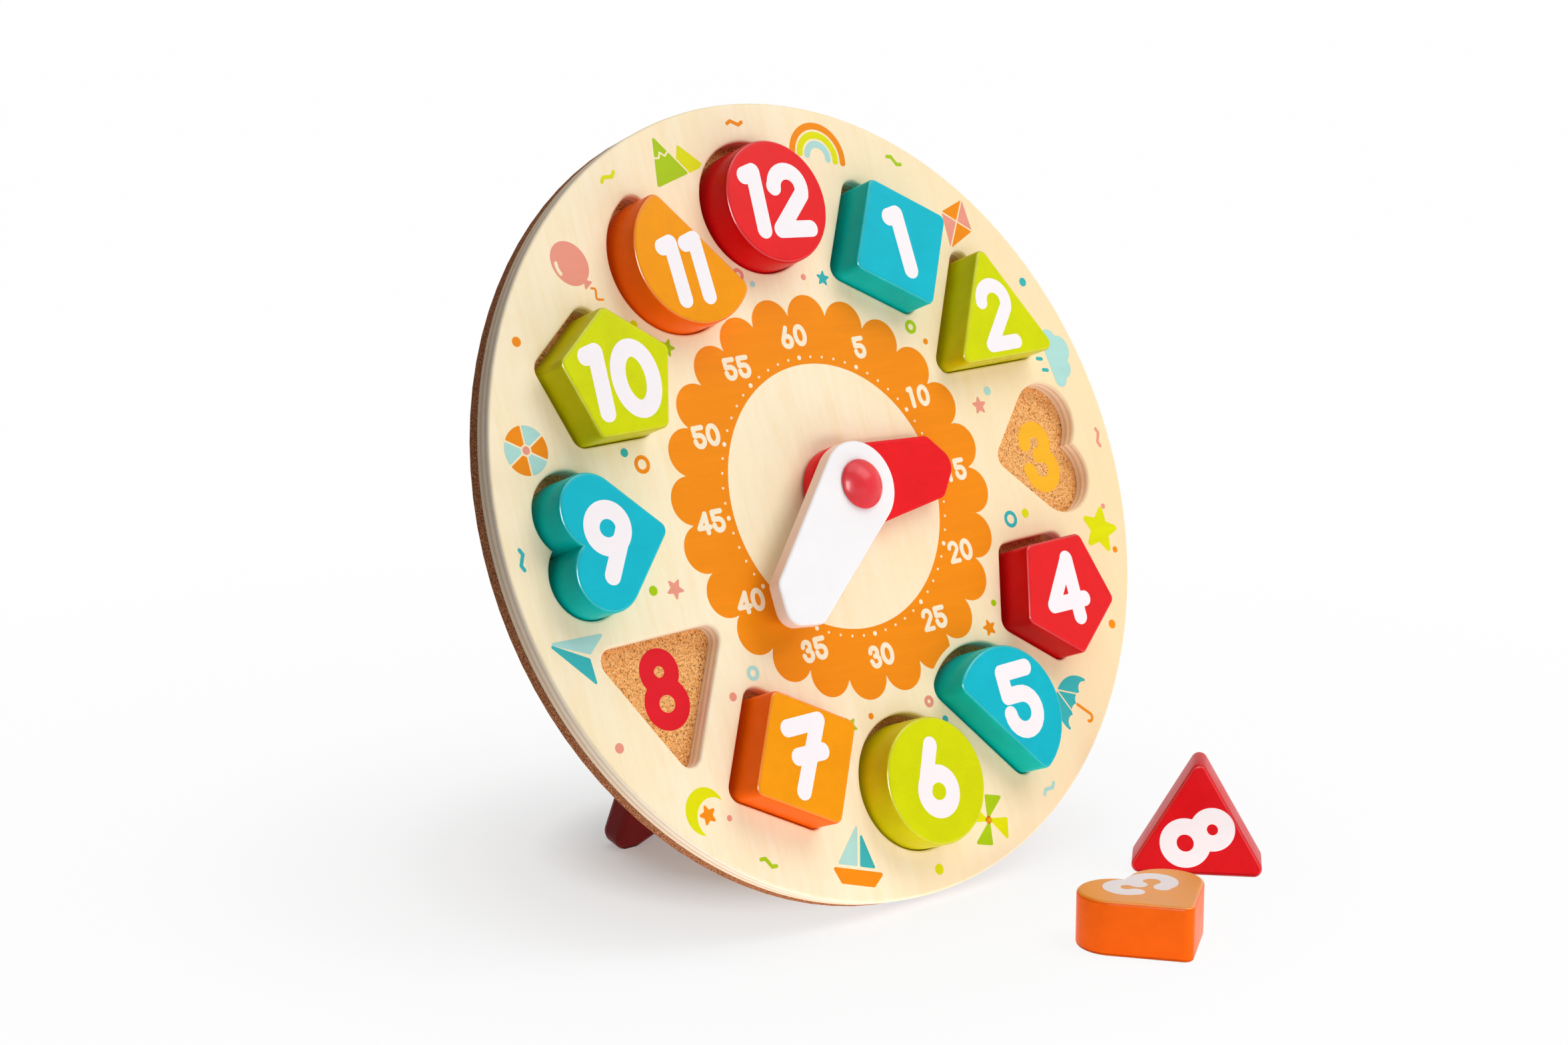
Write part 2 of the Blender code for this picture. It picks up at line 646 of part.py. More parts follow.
def add_leaf(name, keep_middle, frame, side, spans, wood):
    # side is +1 where the wood lies on the leaf's +Z side and -1 where it lies on its -Z side
    low, high = sorted((side * leaf_inner, side * leaf_outer))
    leaf = add_object(name, flat_mesh(name, [leaf_outline(keep_middle)], low, high),
                      new_material(name + "_steel", STEEL, 0.3, 1.0), frame, origin, parts)
    for index, (start, end) in enumerate(spans):
        barrel = cylinder_mesh(name + "_barrel", knuckle_radius, start, end, BORE_SIDES)
        boolean(leaf, add_cutter("%s_barrel_%d" % (name, index), barrel, frame, across), "UNION")
    bore = cylinder_mesh(name + "_bore", knuckle_bore, -LEAF_WIDTH, LEAF_WIDTH, SMALL_SIDES)
    boolean(leaf, add_cutter(name + "_bore", bore, frame, across), "DIFFERENCE")
    for index, x in enumerate((-SCREW_SPACING / 2, SCREW_SPACING / 2)):
        turn = origin if side < 0 else Matrix.Rotation(math.pi, 4, "X")
        seat = Matrix.Translation((x, -SCREW_DROP, side * leaf_inner)) @ turn
        add_screw("%s_screw_%d" % (name, index + 1), seat, frame, leaf, wood)
    return leaf


def add_screw(name, seat, frame, leaf, wood):
    # The head's top is at height zero and the shank points down.
    head = SCREW_HEAD_RADIUS
    shank = SCREW_SHANK_RADIUS
    gap = TOUCH_GAP
    profile = [(0, 0), (head, 0), (shank, -SCREW_HEAD_DEPTH), (shank, shank - SCREW_LENGTH), (0, -SCREW_LENGTH)]
    turned_object(name, profile, new_material(name + "_steel", STEEL, 0.3, 1.0), frame, seat,
                  parts, SMALL_SIDES)
    deep = SCREW_LENGTH + gap
    sink = [(0, gap), (head + gap, gap), (head + gap, 0), (shank + gap, -SCREW_HEAD_DEPTH)]
    sink += [(shank + gap, -deep), (0, -deep)]
    hole = turned_object(name + "_hole", sink, None, frame, seat, cutters, SMALL_SIDES)
    hole.hide_render = True
    hole.display_type = "WIRE"
    boolean(leaf, hole, "DIFFERENCE")
    boolean(wood, hole, "DIFFERENCE")


outer_spans = [(-half_leaf, -third), (third, half_leaf)]
middle_spans = [(TOUCH_GAP - third, third - TOUCH_GAP)]
add_leaf("hinge_leaf_board", False, board_leaf_frame, 1, outer_spans, back_board)
add_leaf("hinge_leaf_leg", True, leg_frame, -1, middle_spans, stand_leg)
head_inner = half_leaf + TOUCH_GAP
head_outer = head_inner + PIN_HEAD_LENGTH
pin_profile = [(0, head_outer), (PIN_RADIUS, head_outer), (PIN_HEAD_RADIUS, head_inner), (PIN_RADIUS, head_inner)]
pin_profile += [(PIN_RADIUS, -head_inner), (PIN_HEAD_RADIUS, -head_inner), (PIN_RADIUS, -head_outer)]
pin_profile += [(0, -head_outer)]
turned_object("hinge_pin", pin_profile, steel, board_leaf_frame, across, parts, SMALL_SIDES)

# The whole part is moved so that its middle stands over the origin
bpy.context.view_layer.update()
depsgraph = bpy.context.evaluated_depsgraph_get()
reach_front = []
reach_back = []
for item in parts.objects:
    if item.type == "MESH":
        solid = item.evaluated_get(depsgraph)
        along = [(item.matrix_world @ vertex.co).y for vertex in solid.data.vertices]
        reach_front.append(min(along))
        reach_back.append(max(along))
assembly.location.y = -(min(reach_front) + max(reach_back)) / 2
bpy.context.view_layer.update()
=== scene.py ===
"""Wooden clock puzzle: dressed pieces, materials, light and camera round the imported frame."""

import json
import math

import bmesh
import bpy
import numpy as np
from mathutils import Matrix, Vector


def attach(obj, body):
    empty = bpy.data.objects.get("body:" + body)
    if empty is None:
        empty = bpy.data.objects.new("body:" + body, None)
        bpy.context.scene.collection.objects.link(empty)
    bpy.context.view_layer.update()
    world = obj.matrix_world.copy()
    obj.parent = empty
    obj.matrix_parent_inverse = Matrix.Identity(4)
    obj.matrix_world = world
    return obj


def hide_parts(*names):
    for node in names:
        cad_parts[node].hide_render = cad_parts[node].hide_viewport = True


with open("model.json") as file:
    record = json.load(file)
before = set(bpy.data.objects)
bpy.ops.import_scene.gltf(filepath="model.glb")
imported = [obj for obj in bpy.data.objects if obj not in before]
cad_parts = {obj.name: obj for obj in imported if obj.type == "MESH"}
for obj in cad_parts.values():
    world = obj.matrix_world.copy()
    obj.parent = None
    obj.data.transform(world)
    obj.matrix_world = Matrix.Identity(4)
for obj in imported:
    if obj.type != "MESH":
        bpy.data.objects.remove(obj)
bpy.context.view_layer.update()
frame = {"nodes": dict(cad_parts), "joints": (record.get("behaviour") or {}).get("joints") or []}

# Driving sizes, in millimetres and degrees; finished meshes are in metres
MM = 0.001
BOARD_RADIUS = 150.0
FACE_PLY = 6.9
GAP = 0.3
RECESS_FLOOR = -(FACE_PLY + GAP)
SHANK_RADIUS = 3.5
BORE_RADIUS = SHANK_RADIUS + GAP
LEAN = 20.9
DIAL_TURN = 2.1

# The hands turn about the middle of the dial's face
CENTRE = Vector(next(joint["pos_m"] for joint in frame["joints"] if joint["name"] == "hour_turn"))
BOARD = Matrix.Translation(CENTRE) @ Matrix.Rotation(math.radians(90 - LEAN), 4, "X")
DIAL = BOARD @ Matrix.Rotation(math.radians(DIAL_TURN), 4, "Z")
OUTWARD = BOARD.to_3x3() @ Vector((0, 0, 1))

# Twelve block widths and the webs between them fill the ring of hours, inside the land at the rim
RIM_LAND = 17.1
BLOCK_WEB = 9.9
BLOCK_PROUD = 12.9
BLOCK_CLEARANCE = 1.8
BLOCK_HALF = (FACE_PLY + BLOCK_PROUD) / 2
BLOCK_ROUND = 1.4
RECESS_ROUND = 1.0
RECESS_EDGE = BLOCK_CLEARANCE + RECESS_ROUND
HOUR_HALF = math.sin(math.pi / 12)
RING = (BOARD_RADIUS - RIM_LAND + BLOCK_WEB / 2) / (1 + HOUR_HALF)
WIDTH = 2 * RING * HOUR_HALF - BLOCK_WEB
TRIANGLE_REACH = WIDTH * 0.654


# Outlines
def polar(radius, bearing):
    angle = math.radians(bearing)
    return radius * math.cos(angle), radius * math.sin(angle)


def moved(point, by):
    return point[0] + by[0], point[1] + by[1]


def arc(centre, radius, start, end, count=16):
    step = (end - start) / count
    return [moved(centre, polar(radius, start + step * index)) for index in range(count + 1)]


def circle_outline(grow, radius=WIDTH * 0.5, count=112):
    return arc((0, 0), radius + grow, 0, 360, count)[:-1]


def polygon_outline(sides, reach, corner, grow, first=90.0):
    """A polygon with rounded corners; reach goes from its middle to a corner before the rounding."""
    half_turn = 180 / sides
    centre_reach = reach - corner / math.cos(math.radians(half_turn))
    points = []
    for index in range(sides):
        bearing = first + 2 * half_turn * index
        middle = polar(centre_reach, bearing)
        points += arc(middle, corner + grow, bearing - half_turn, bearing + half_turn, 10)
    return points


def square_outline(grow):
    side, corner = WIDTH * 0.825, 3.2
    return polygon_outline(4, side / math.sqrt(2), corner, grow, 135.0)


def triangle_outline(grow):
    corner = 3.1
    return polygon_outline(3, TRIANGLE_REACH, corner, grow)


def pentagon_outline(grow):
    reach, corner = WIDTH * 0.541, 3.2
    return polygon_outline(5, reach, corner, grow)


def heart_outline(grow):
    lobe_radius, spread, tip_radius = WIDTH * 0.2886, WIDTH * 0.233, 3.4
    lobe = lobe_radius + grow
    tip_height = math.sqrt(2) * (tip_radius - lobe_radius) - spread
    notch = math.degrees(math.acos(spread / lobe))
    right = arc((spread, 0), lobe, -45, 180 - notch, 44)
    left = arc((-spread, 0), lobe, notch, 225, 44)
    return right + left[1:] + arc((0, tip_height), tip_radius + grow, 225, 315, 12)


def dee_outline(grow):
    radius, flat, corner = WIDTH * 0.5557, WIDTH * 0.1667, 4.0
    drop = corner - flat
    side = math.sqrt((radius - corner) ** 2 - drop ** 2)
    start = math.degrees(math.atan2(drop, side))
    crown = arc((0, 0), radius + grow, start, 180 - start, 56)
    left = arc((-side, drop), corner + grow, 180 - start, 270, 9)
    right = arc((side, drop), corner + grow, -90, start, 9)
    return crown + left[1:] + right[:-1]


def turn_and_move(points, turn, place):
    cosine, sine = polar(1, turn)
    return [(place[0] + x * cosine - y * sine, place[1] + x * sine + y * cosine) for x, y in points]


# Two opposite blocks, their outline, their share of the ring's radius, bearing and turn
SHAPES = [
    (12, 6, circle_outline, 1.0, 90.0, 0.0),
    (1, 7, square_outline, 0.9543, 57.7, -30.0),
    (2, 8, triangle_outline, 0.9981, 29.1, 0.0),
    (3, 9, heart_outline, 1.0785, -0.2, -90.0),
    (4, 10, pentagon_outline, 0.9735, -31.2, 180.0),
    (5, 11, dee_outline, 0.9552, -64.3, -50.5),
]
PATTERN_SHIFT = (-1.0, 0.4)
PLACES = {}
for first, opposite, outline, share, bearing, turn in SHAPES:
    for number, half in ((first, 0), (opposite, 180)):
        spot = moved(polar(RING * share, bearing + half), PATTERN_SHIFT)
        PLACES[number] = (outline, spot, turn + half)

# A number takes the colour at its remainder after division by four
COLOURS = ("red", "teal", "lime", "orange")


# Distance fields: functions of x and y that are negative inside a shape
def field_capsule(x, y, ax, ay, bx, by, half):
    dx, dy = bx - ax, by - ay
    square = dx * dx + dy * dy
    if square == 0:
        return np.hypot(x - ax, y - ay) - half
    share = np.clip(((x - ax) * dx + (y - ay) * dy) / square, 0, 1)
    return np.hypot(x - ax - share * dx, y - ay - share * dy) - half


def field_path(x, y, points, half):
    best = np.full(x.shape, np.inf)
    for (ax, ay), (bx, by) in zip(points, points[1:]):
        best = np.minimum(best, field_capsule(x, y, ax, ay, bx, by, half))
    return best


def field_polygon(x, y, corners):
    ring = corners + corners[:1]
    inside = np.zeros(x.shape, bool)
    for (ax, ay), (bx, by) in zip(ring, ring[1:]):
        if ay != by:
            crossing = (ay > y) != (by > y)
            inside ^= crossing & (x < (bx - ax) * (y - ay) / (by - ay) + ax)
    away = field_path(x, y, ring, 0.0)
    return np.where(inside, -away, away)


def disc(radius, cx=0.0, cy=0.0):
    return lambda x, y: np.hypot(x - cx, y - cy) - radius


def egg(radius, narrowing):
    return lambda x, y: (np.hypot(x / narrowing, y) - radius) * 0.9


def hoop(radius, half, cx=0.0, cy=0.0):
    return lambda x, y: np.abs(np.hypot(x - cx, y - cy) - radius) - half


def shape_of(corners, soft=0.5):
    return lambda x, y: field_polygon(x, y, corners) - soft


def line_of(points, half):
    return lambda x, y: field_path(x, y, points, half)


def star(outer, inner, soft):
    corners = [polar((inner if index % 2 else outer) - soft, 90 + 36 * index) for index in range(10)]
    return shape_of(corners, soft)


def above(level):
    return lambda x, y: level - y


def both(*parts):
    return lambda x, y: np.maximum.reduce([part(x, y) for part in parts])


def either(*parts):
    return lambda x, y: np.minimum.reduce([part(x, y) for part in parts])


def without(first, *parts):
    return lambda x, y: np.maximum.reduce([first(x, y)] + [-part(x, y) for part in parts])


def spun(part, turn):
    cosine, sine = polar(1, turn)
    return lambda x, y: part(x * cosine + y * sine, y * cosine - x * sine)


def contours(field, left, low, cell):
    """Closed loops where the field is zero, walked cell by cell; the field is positive on the border."""
    inside = field < 0
    code = (inside[:-1, :-1] * 1 + inside[:-1, 1:] * 2 + inside[1:, 1:] * 4 + inside[1:, :-1] * 8)
    sides = {1: [(3, 0)], 2: [(0, 1)], 3: [(3, 1)], 4: [(1, 2)], 5: [(3, 0), (1, 2)], 6: [(0, 2)],
             7: [(3, 2)], 8: [(2, 3)], 9: [(2, 0)], 10: [(0, 1), (2, 3)], 11: [(2, 1)], 12: [(1, 3)],
             13: [(1, 0)], 14: [(0, 3)]}
    near = {}
    for row, col in zip(*np.nonzero((code > 0) & (code < 15))):
        keys = [(0, row, col), (1, row, col + 1), (0, row + 1, col), (1, row, col)]
        for first, second in sides[int(code[row, col])]:
            near.setdefault(keys[first], []).append(keys[second])
            near.setdefault(keys[second], []).append(keys[first])

    def place(key):
        kind, row, col = key
        if kind == 0:
            a, b = field[row, col], field[row, col + 1]
            return (left + (col + a / (a - b)) * cell, low + row * cell)
        a, b = field[row, col], field[row + 1, col]
        return (left + col * cell, low + (row + a / (a - b)) * cell)

    loops = []
    while near:
        start = next(iter(near))
        walk, previous, here = [], None, start
        while True:
            walk.append(place(here))
            onward = near.pop(here)
            step = onward[0] if onward[0] != previous else onward[1]
            previous, here = here, step
            if here == start:
                break
        if len(walk) > 5:
            loops.append(thin_out(walk))
    return loops


def thin_out(loop, slack=0.012):
    """Drops the points of a closed loop that lie nearly on the line between their neighbours."""
    points = np.array(loop)
    for _ in range(3):
        count = len(points)
        if count < 10:
            break
        keep = np.ones(count, bool)
        before, after = np.roll(points, 1, 0), np.roll(points, -1, 0)
        along = after - before
        length = np.maximum(np.hypot(along[:, 0], along[:, 1]), 1e-9)
        off = points - before
        away = np.abs(along[:, 0] * off[:, 1] - along[:, 1] * off[:, 0]) / length
        keep[1::2] = away[1::2] >= slack
        points = points[keep]
    return [tuple(point) for point in points]


def loops_of(function, low_corner, high_corner, cell):
    """The outlines of a field's shapes inside a box, with the box's own border left outside them."""
    xs = np.arange(low_corner[0], high_corner[0] + cell, cell)
    ys = np.arange(low_corner[1], high_corner[1] + cell, cell)
    x, y = np.meshgrid(xs, ys)
    field = function(x, y)
    nearly_zero = 1e-6
    field[np.abs(field) < nearly_zero] = nearly_zero
    field[0, :] = field[-1, :] = 1.0
    field[:, 0] = field[:, -1] = 1.0
    return contours(field, xs[0], ys[0], cell)


# Plain numerals
def oval(centre, wide, tall, count=40):
    points = []
    for index in range(count + 1):
        x, y = polar(1, 360 * index / count)
        points.append((centre[0] + wide * x, centre[1] + tall * y))
    return points


# Each numeral is a list of strokes: the points of its middle line and half its width.
GLYPHS = {
    "0": [(oval((0, 0), 7.3, 11.0), 3.25)],
    "1": [([(-2.1, 10.4), (1.85, 11.05), (1.85, -10.9)], 3.45)],
    "2": [([(-6.2, 6.0)] + arc((0.2, 5.3), 6.4, 176, -28) + [(-6.8, -11.5), (6.6, -11.5)], 2.9)],
    "3": [([(-5.0, 6.0)] + arc((0.6, 5.8), 5.4, 176, -62) + [(0.9, 0.5)], 3.1),
          ([(0.9, 0.5)] + arc((1.0, -5.3), 6.3, 72, -180) + [(-5.9, -4.7)], 3.1)],
    "4": [([(4.3, 11.0), (-8.6, -5.0), (8.5, -5.3)], 3.05), ([(4.4, 11.0), (3.8, -11.4)], 3.35)],
    "5": [([(6.7, 11.3), (-6.0, 11.3), (-6.0, 2.4), (0.3, 2.35)] + arc((0.3, -4.55), 6.9, 90, -182), 3.2)],
    "6": [(oval((-0.3, -5.2), 6.7, 6.5), 3.3), ([(1.3, 11.6), (-6.2, -2.6)], 3.25)],
    "7": [([(-7.1, 11.5), (6.9, 11.3), (-7.3, -11.1)], 3.2), ([(-5.6, 0.9), (5.3, 0.5)], 3.2)],
    "8": [(oval((0.3, 6.2), 5.35, 5.2), 3.15), (oval((0.2, -5.2), 6.55, 6.3), 3.15)],
    "9": [(oval((0, 5.25), 6.65, 6.5), 3.3), ([(6.1, 3.3), (-3.1, -10.9)], 3.25)],
    "10": [([(-13.1, 10.1), (-8.7, 11.1), (-9.9, -10.4)], 3.3), (oval((5.8, -0.1), 7.3, 11.0), 3.25)],
    "11": [([(-7.7, 9.3), (-3.8, 10.4), (-3.35, -10.5)], 3.1),
           ([(2.9, 9.5), (7.2, 10.7), (7.6, -10.4)], 3.1)],
    "12": [([(-12.6, 9.3), (-8.3, 10.3), (-9.8, -11.6)], 3.35),
           ([(-0.3, 4.0)] + arc((6.4, 2.8), 6.5, 172, -26) + [(-2.0, -12.3), (12.3, -13.3)], 3.2)],
}


def glyph_loops(strokes, reach=18, cell=0.22):
    field = either(*[line_of(points, half) for points, half in strokes])
    return loops_of(field, (-reach, -reach), (reach, reach), cell)


LOOPS = {name: glyph_loops(strokes) for name, strokes in GLYPHS.items()}


def scaled(loops, size, turn, place):
    return [turn_and_move([(x * size, y * size) for x, y in loop], turn, place) for loop in loops]


# Meshes
def to_object(mesh, *materials):
    item = bpy.data.objects.new(mesh.name, mesh)
    bpy.context.scene.collection.objects.link(item)
    for material in materials:
        mesh.materials.append(material)
    return item


def flatten_caps(mesh):
    """Wide end faces shade flat: every corner at a cap's rim takes the cap's own normal."""
    caps = [face for face in mesh.polygons if len(face.vertices) > 4]
    normal_at = {vertex: tuple(face.normal) for face in caps for vertex in face.vertices}
    normals = [tuple(corner.vector) for corner in mesh.corner_normals]
    for loop in mesh.loops:
        normals[loop.index] = normal_at.get(loop.vertex_index, normals[loop.index])
    mesh.normals_split_custom_set(normals)


def flat_mesh(name, loops, bottom, top, place):
    """A closed thin plate between two heights, from loops with holes."""
    curve = bpy.data.curves.new(name, "CURVE")
    curve.dimensions = "2D"
    curve.fill_mode = "BOTH"
    curve.extrude = (top - bottom) / 2 * MM
    for loop in loops:
        spline = curve.splines.new("POLY")
        spline.points.add(len(loop) - 1)
        flat = [value for x, y in loop for value in (x * MM, y * MM, 0, 1)]
        spline.points.foreach_set("co", flat)
        spline.use_cyclic_u = True
    guide = bpy.data.objects.new(name, curve)
    bpy.context.scene.collection.objects.link(guide)
    bpy.context.view_layer.update()
    evaluated = guide.evaluated_get(bpy.context.evaluated_depsgraph_get())
    mesh = bpy.data.meshes.new_from_object(evaluated)
    bpy.data.objects.remove(guide, do_unlink=True)
    mesh.name = name
    mesh.materials.clear()
    mesh.transform(place @ Matrix.Translation((0, 0, (top + bottom) / 2 * MM)))
    shape = bmesh.new()
    shape.from_mesh(mesh)
    bmesh.ops.remove_doubles(shape, verts=shape.verts, dist=0.002 * MM)
    bmesh.ops.recalc_face_normals(shape, faces=shape.faces)
    shape.to_mesh(mesh)
    shape.free()
    return mesh


def at_height(points, z):
    return [(x, y, z) for x, y in points]


def add_rings(shape, rings, capped=False):
    """Quads between rings of equal count; the two ends are capped or left open."""
    rows = []
    for points in rings:
        rows.append([shape.verts.new((x * MM, y * MM, z * MM)) for x, y, z in points])
    for lower, upper in zip(rows, rows[1:]):
        for index in range(len(lower)):
            after = (index + 1) % len(lower)
            shape.faces.new((lower[index], lower[after], upper[after], upper[index]))
    if capped:
        shape.faces.new(rows[0])
        shape.faces.new(rows[-1])
    return rows


def edges_of(shape, row):
    """The edges round one ring of a mesh."""
    return [shape.edges.get((row[index], row[(index + 1) % len(row)])) for index in range(len(row))]


def rounding(outline, radius, level, side, steps):
    """Rings of one rounded edge, from a narrow flat ring out to the full outline.

    The edge is below the flat ring for side 1 and above it for side -1."""
    land = 0.25
    rings = [at_height(outline(-radius - land), level)]
    for step in range(steps + 1):
        angle = math.pi / 2 * step / steps
        drop = radius * (1 - math.cos(angle))
        rings.append(at_height(outline(-radius * (1 - math.sin(angle))), level - side * drop))
    return rings


def rounded_rings(outline, bottom, top, radius, steps):
    """Rings of a slab whose two edges are rounded."""
    return rounding(outline, radius, bottom, -1, steps) + rounding(outline, radius, top, 1, steps)[::-1]


def finish_mesh(name, shape, place=Matrix.Identity(4), sharp_from=32):
    bmesh.ops.recalc_face_normals(shape, faces=shape.faces)
    mesh = bpy.data.meshes.new(name)
    shape.to_mesh(mesh)
    shape.free()
    mesh.shade_smooth()
    mesh.set_sharp_from_angle(angle=math.radians(sharp_from))
    flatten_caps(mesh)
    mesh.transform(place)
    return mesh


def slab_mesh(name, outline, half, radius):
    shape = bmesh.new()
    add_rings(shape, rounded_rings(outline, -half, half, radius, 7), capped=True)
    return finish_mesh(name, shape)


def turned_mesh(name, profile, steps, place, sharp_from):
    """A profile of (radius, height) from the top's middle to the bottom's middle, turned about Z."""
    shape = bmesh.new()
    rings = [at_height(circle_outline(0, radius, steps), height) for radius, height in profile[1:-1]]
    rows = add_rings(shape, rings)
    for (_, height), row in ((profile[0], rows[0]), (profile[-1], rows[-1])):
        middle = shape.verts.new((0, 0, height * MM))
        for index in range(steps):
            shape.faces.new((middle, row[index], row[(index + 1) % steps]))
    return finish_mesh(name, shape, place, sharp_from)


# Materials
def linear(red, green, blue):
    values = []
    for part in (red, green, blue):
        part = part / 255
        values.append(part / 12.92 if part <= 0.04045 else ((part + 0.055) / 1.055) ** 2.4)
    return (*values, 1.0)


class Tree:
    """A short way to write a material's nodes."""

    def __init__(self, name):
        self.material = bpy.data.materials.new(name)
        self.material.use_nodes = True
        self.nodes = self.material.node_tree.nodes
        self.links = self.material.node_tree.links
        self.shader = self.nodes["Principled BSDF"]
        self.place = self.nodes.new("ShaderNodeTexCoord").outputs["Object"]

    def value(self, socket, given):
        if isinstance(given, bpy.types.NodeSocket):
            self.links.new(given, socket)
        else:
            socket.default_value = given

    def node(self, kind, inputs):
        """A new node; each input, by name or number, takes a value or another node's output."""
        node = self.nodes.new("ShaderNode" + kind)
        for name, given in inputs.items():
            self.value(node.inputs[name], given)
        return node

    def noise(self, scale, detail, rough, distortion=0.0, stretch=(1, 1, 1)):
        place = self.node("Mapping", {"Vector": self.place, "Scale": stretch}).outputs["Vector"]
        values = {"Scale": scale, "Detail": detail, "Roughness": rough, "Distortion": distortion}
        return self.node("TexNoise", {"Vector": place, **values}).outputs["Fac"]

    def cells(self, scale):
        return self.node("TexVoronoi", {"Vector": self.place, "Scale": scale}).outputs["Color"]

    def ramp(self, source, stops):
        node = self.node("ValToRGB", {"Fac": source})
        elements = node.color_ramp.elements
        while len(elements) < len(stops):
            elements.new(1.0)
        for element, (position, colour) in zip(elements, stops):
            element.position = position
            element.color = colour
        return node.outputs["Color"]

    def grey(self, source, low, high, from_low, from_high):
        values = {"To Min": low, "To Max": high, "From Min": from_low, "From Max": from_high}
        return self.node("MapRange", {"Value": source, **values}).outputs["Result"]

    def tint(self, body, source, share, begin, full, colour):
        """Lays a colour over the body: none where the source is at begin, and this share of it at full."""
        node = self.nodes.new("ShaderNodeMix")
        node.data_type = "RGBA"
        self.value(node.inputs["Factor"], self.grey(source, 0.0, share, begin, full))
        self.value(node.inputs[6], body)
        self.value(node.inputs[7], colour)
        return node.outputs[2]

    def maths(self, kind, first, second):
        node = self.node("Math", {0: first, 1: second})
        node.operation = kind
        return node.outputs[0]

    def vector_maths(self, kind, first, second):
        node = self.node("VectorMath", {0: first, 1: second})
        node.operation = kind
        return node

    def depth(self, point, direction):
        """How far along a direction the surface lies from a point, in metres."""
        away = self.vector_maths("SUBTRACT", self.place, point)
        return self.vector_maths("DOT_PRODUCT", away.outputs["Vector"], direction).outputs["Value"]

    def distance(self, point):
        """How far the surface lies from a point, in metres."""
        return self.vector_maths("DISTANCE", self.place, point).outputs["Value"]

    def bump(self, height, strength, distance):
        node = self.node("Bump", {"Height": height, "Strength": strength, "Distance": distance})
        self.links.new(node.outputs["Normal"], self.shader.inputs["Normal"])

    def done(self, colour, roughness, coat=0.0, coat_roughness=0.1, metallic=0.0, specular=0.5):
        values = {"Base Color": colour, "Roughness": roughness, "Metallic": metallic, "Coat Weight": coat,
                  "Coat Roughness": coat_roughness, "Specular IOR Level": specular}
        for name, given in values.items():
            self.value(self.shader.inputs[name], given)
        return self.material


def shade_of(colour, factor):
    return tuple(min(1.0, part * factor) for part in colour[:3]) + (1.0,)


def painted(name, rgb, rough=0.34, grain=1.0, coat=0.08, spread=0.06, specular=0.12):
    """Satin paint on wood: cloudy tone, fine fibres under the film and a slightly uneven gloss."""
    tree = Tree(name)
    base = linear(*rgb)
    cloud = tree.noise(90, 4, 0.6)
    fibre = tree.noise(900, 3, 0.6, stretch=(0.12, 1, 1))
    speck = tree.noise(1500, 2, 0.7)
    body = tree.ramp(cloud, [(0.3, shade_of(base, 1 - spread)), (0.7, shade_of(base, 1 + spread * 0.7))])
    body = tree.tint(body, speck, 0.16 * grain, 0.45, 0.75, shade_of(base, 0.78))
    body = tree.tint(body, fibre, 0.10 * grain, 0.45, 0.8, shade_of(base, 1.25))
    height = tree.maths("ADD", tree.maths("MULTIPLY", fibre, 0.6), tree.maths("MULTIPLY", speck, 0.4))
    tree.bump(height, 0.10 * grain, 0.0004)
    roughness = tree.grey(cloud, rough - 0.05, rough + 0.07, 0.3, 0.7)
    return tree.done(body, roughness, coat=coat, coat_roughness=0.14, specular=specular)


def board_front(name):
    """Pale lacquered plywood: mottling, faint grain and small darker flecks, with painted shading that makes
    it warmer and darker to the right.
    """
    tree = Tree(name)
    grain = tree.noise(300, 5, 0.62, 0.3, stretch=(1, 0.09, 0.09))
    fine = tree.noise(1500, 3, 0.6, stretch=(1, 0.05, 0.05))
    patch = tree.noise(16, 4, 0.6, stretch=(1, 0.5, 0.5))
    mottle = tree.noise(120, 4, 0.65, stretch=(1, 0.7, 0.7))
    across = tree.depth(CENTRE, Vector((1, 0, 0)))
    body = tree.ramp(grain, [(0.28, linear(251, 232, 193)), (0.5, linear(254, 237, 203)),
                             (0.75, linear(255, 242, 213))])
    body = tree.tint(body, patch, 0.55, 0.45, 0.72, linear(252, 228, 181))
    body = tree.tint(body, mottle, 0.30, 0.50, 0.75, linear(249, 222, 176))
    body = tree.tint(body, fine, 0.16, 0.56, 0.8, linear(226, 188, 138))
    # Painted shading: the board turns darker and warmer towards its right.
    body = tree.tint(body, across, 0.6, 0.0, 0.14, linear(249, 218, 166))
    tree.bump(tree.maths("ADD", grain, tree.maths("MULTIPLY", fine, 0.5)), 0.04, 0.0005)
    return tree.done(body, tree.grey(patch, 0.36, 0.48, 0.3, 0.7), specular=0.15)


# Tones of the plies, from the face at 0 to the back of the face ply at about 1
PLY_TONES = [
    (0.0, linear(255, 246, 230)), (0.20, linear(254, 243, 226)), (0.24, linear(238, 208, 182)),
    (0.36, linear(242, 214, 188)), (0.41, linear(253, 236, 212)), (0.60, linear(252, 232, 206)),
    (0.64, linear(232, 198, 168)), (0.78, linear(238, 208, 178)), (0.84, linear(250, 230, 202)),
    (1.0, linear(246, 220, 190)),
]


def ply_edge(name):
    """The sanded edge of plywood: plies across the thickness, slightly wavy, with streaks of end grain."""
    tree = Tree(name)
    stack = 7.0 * MM
    wander = tree.noise(60, 3, 0.5)
    streak = tree.noise(420, 5, 0.7)
    depth = tree.maths("MULTIPLY", tree.depth(CENTRE, OUTWARD), -1 / stack)
    layers = tree.ramp(tree.maths("ADD", depth, tree.maths("MULTIPLY", wander, 0.05)), PLY_TONES)
    layers = tree.tint(layers, streak, 0.22, 0.5, 0.8, linear(196, 152, 116))
    tree.bump(streak, 0.2, 0.0003)
    return tree.done(layers, tree.grey(streak, 0.5, 0.7, 0.3, 0.7), specular=0.04)


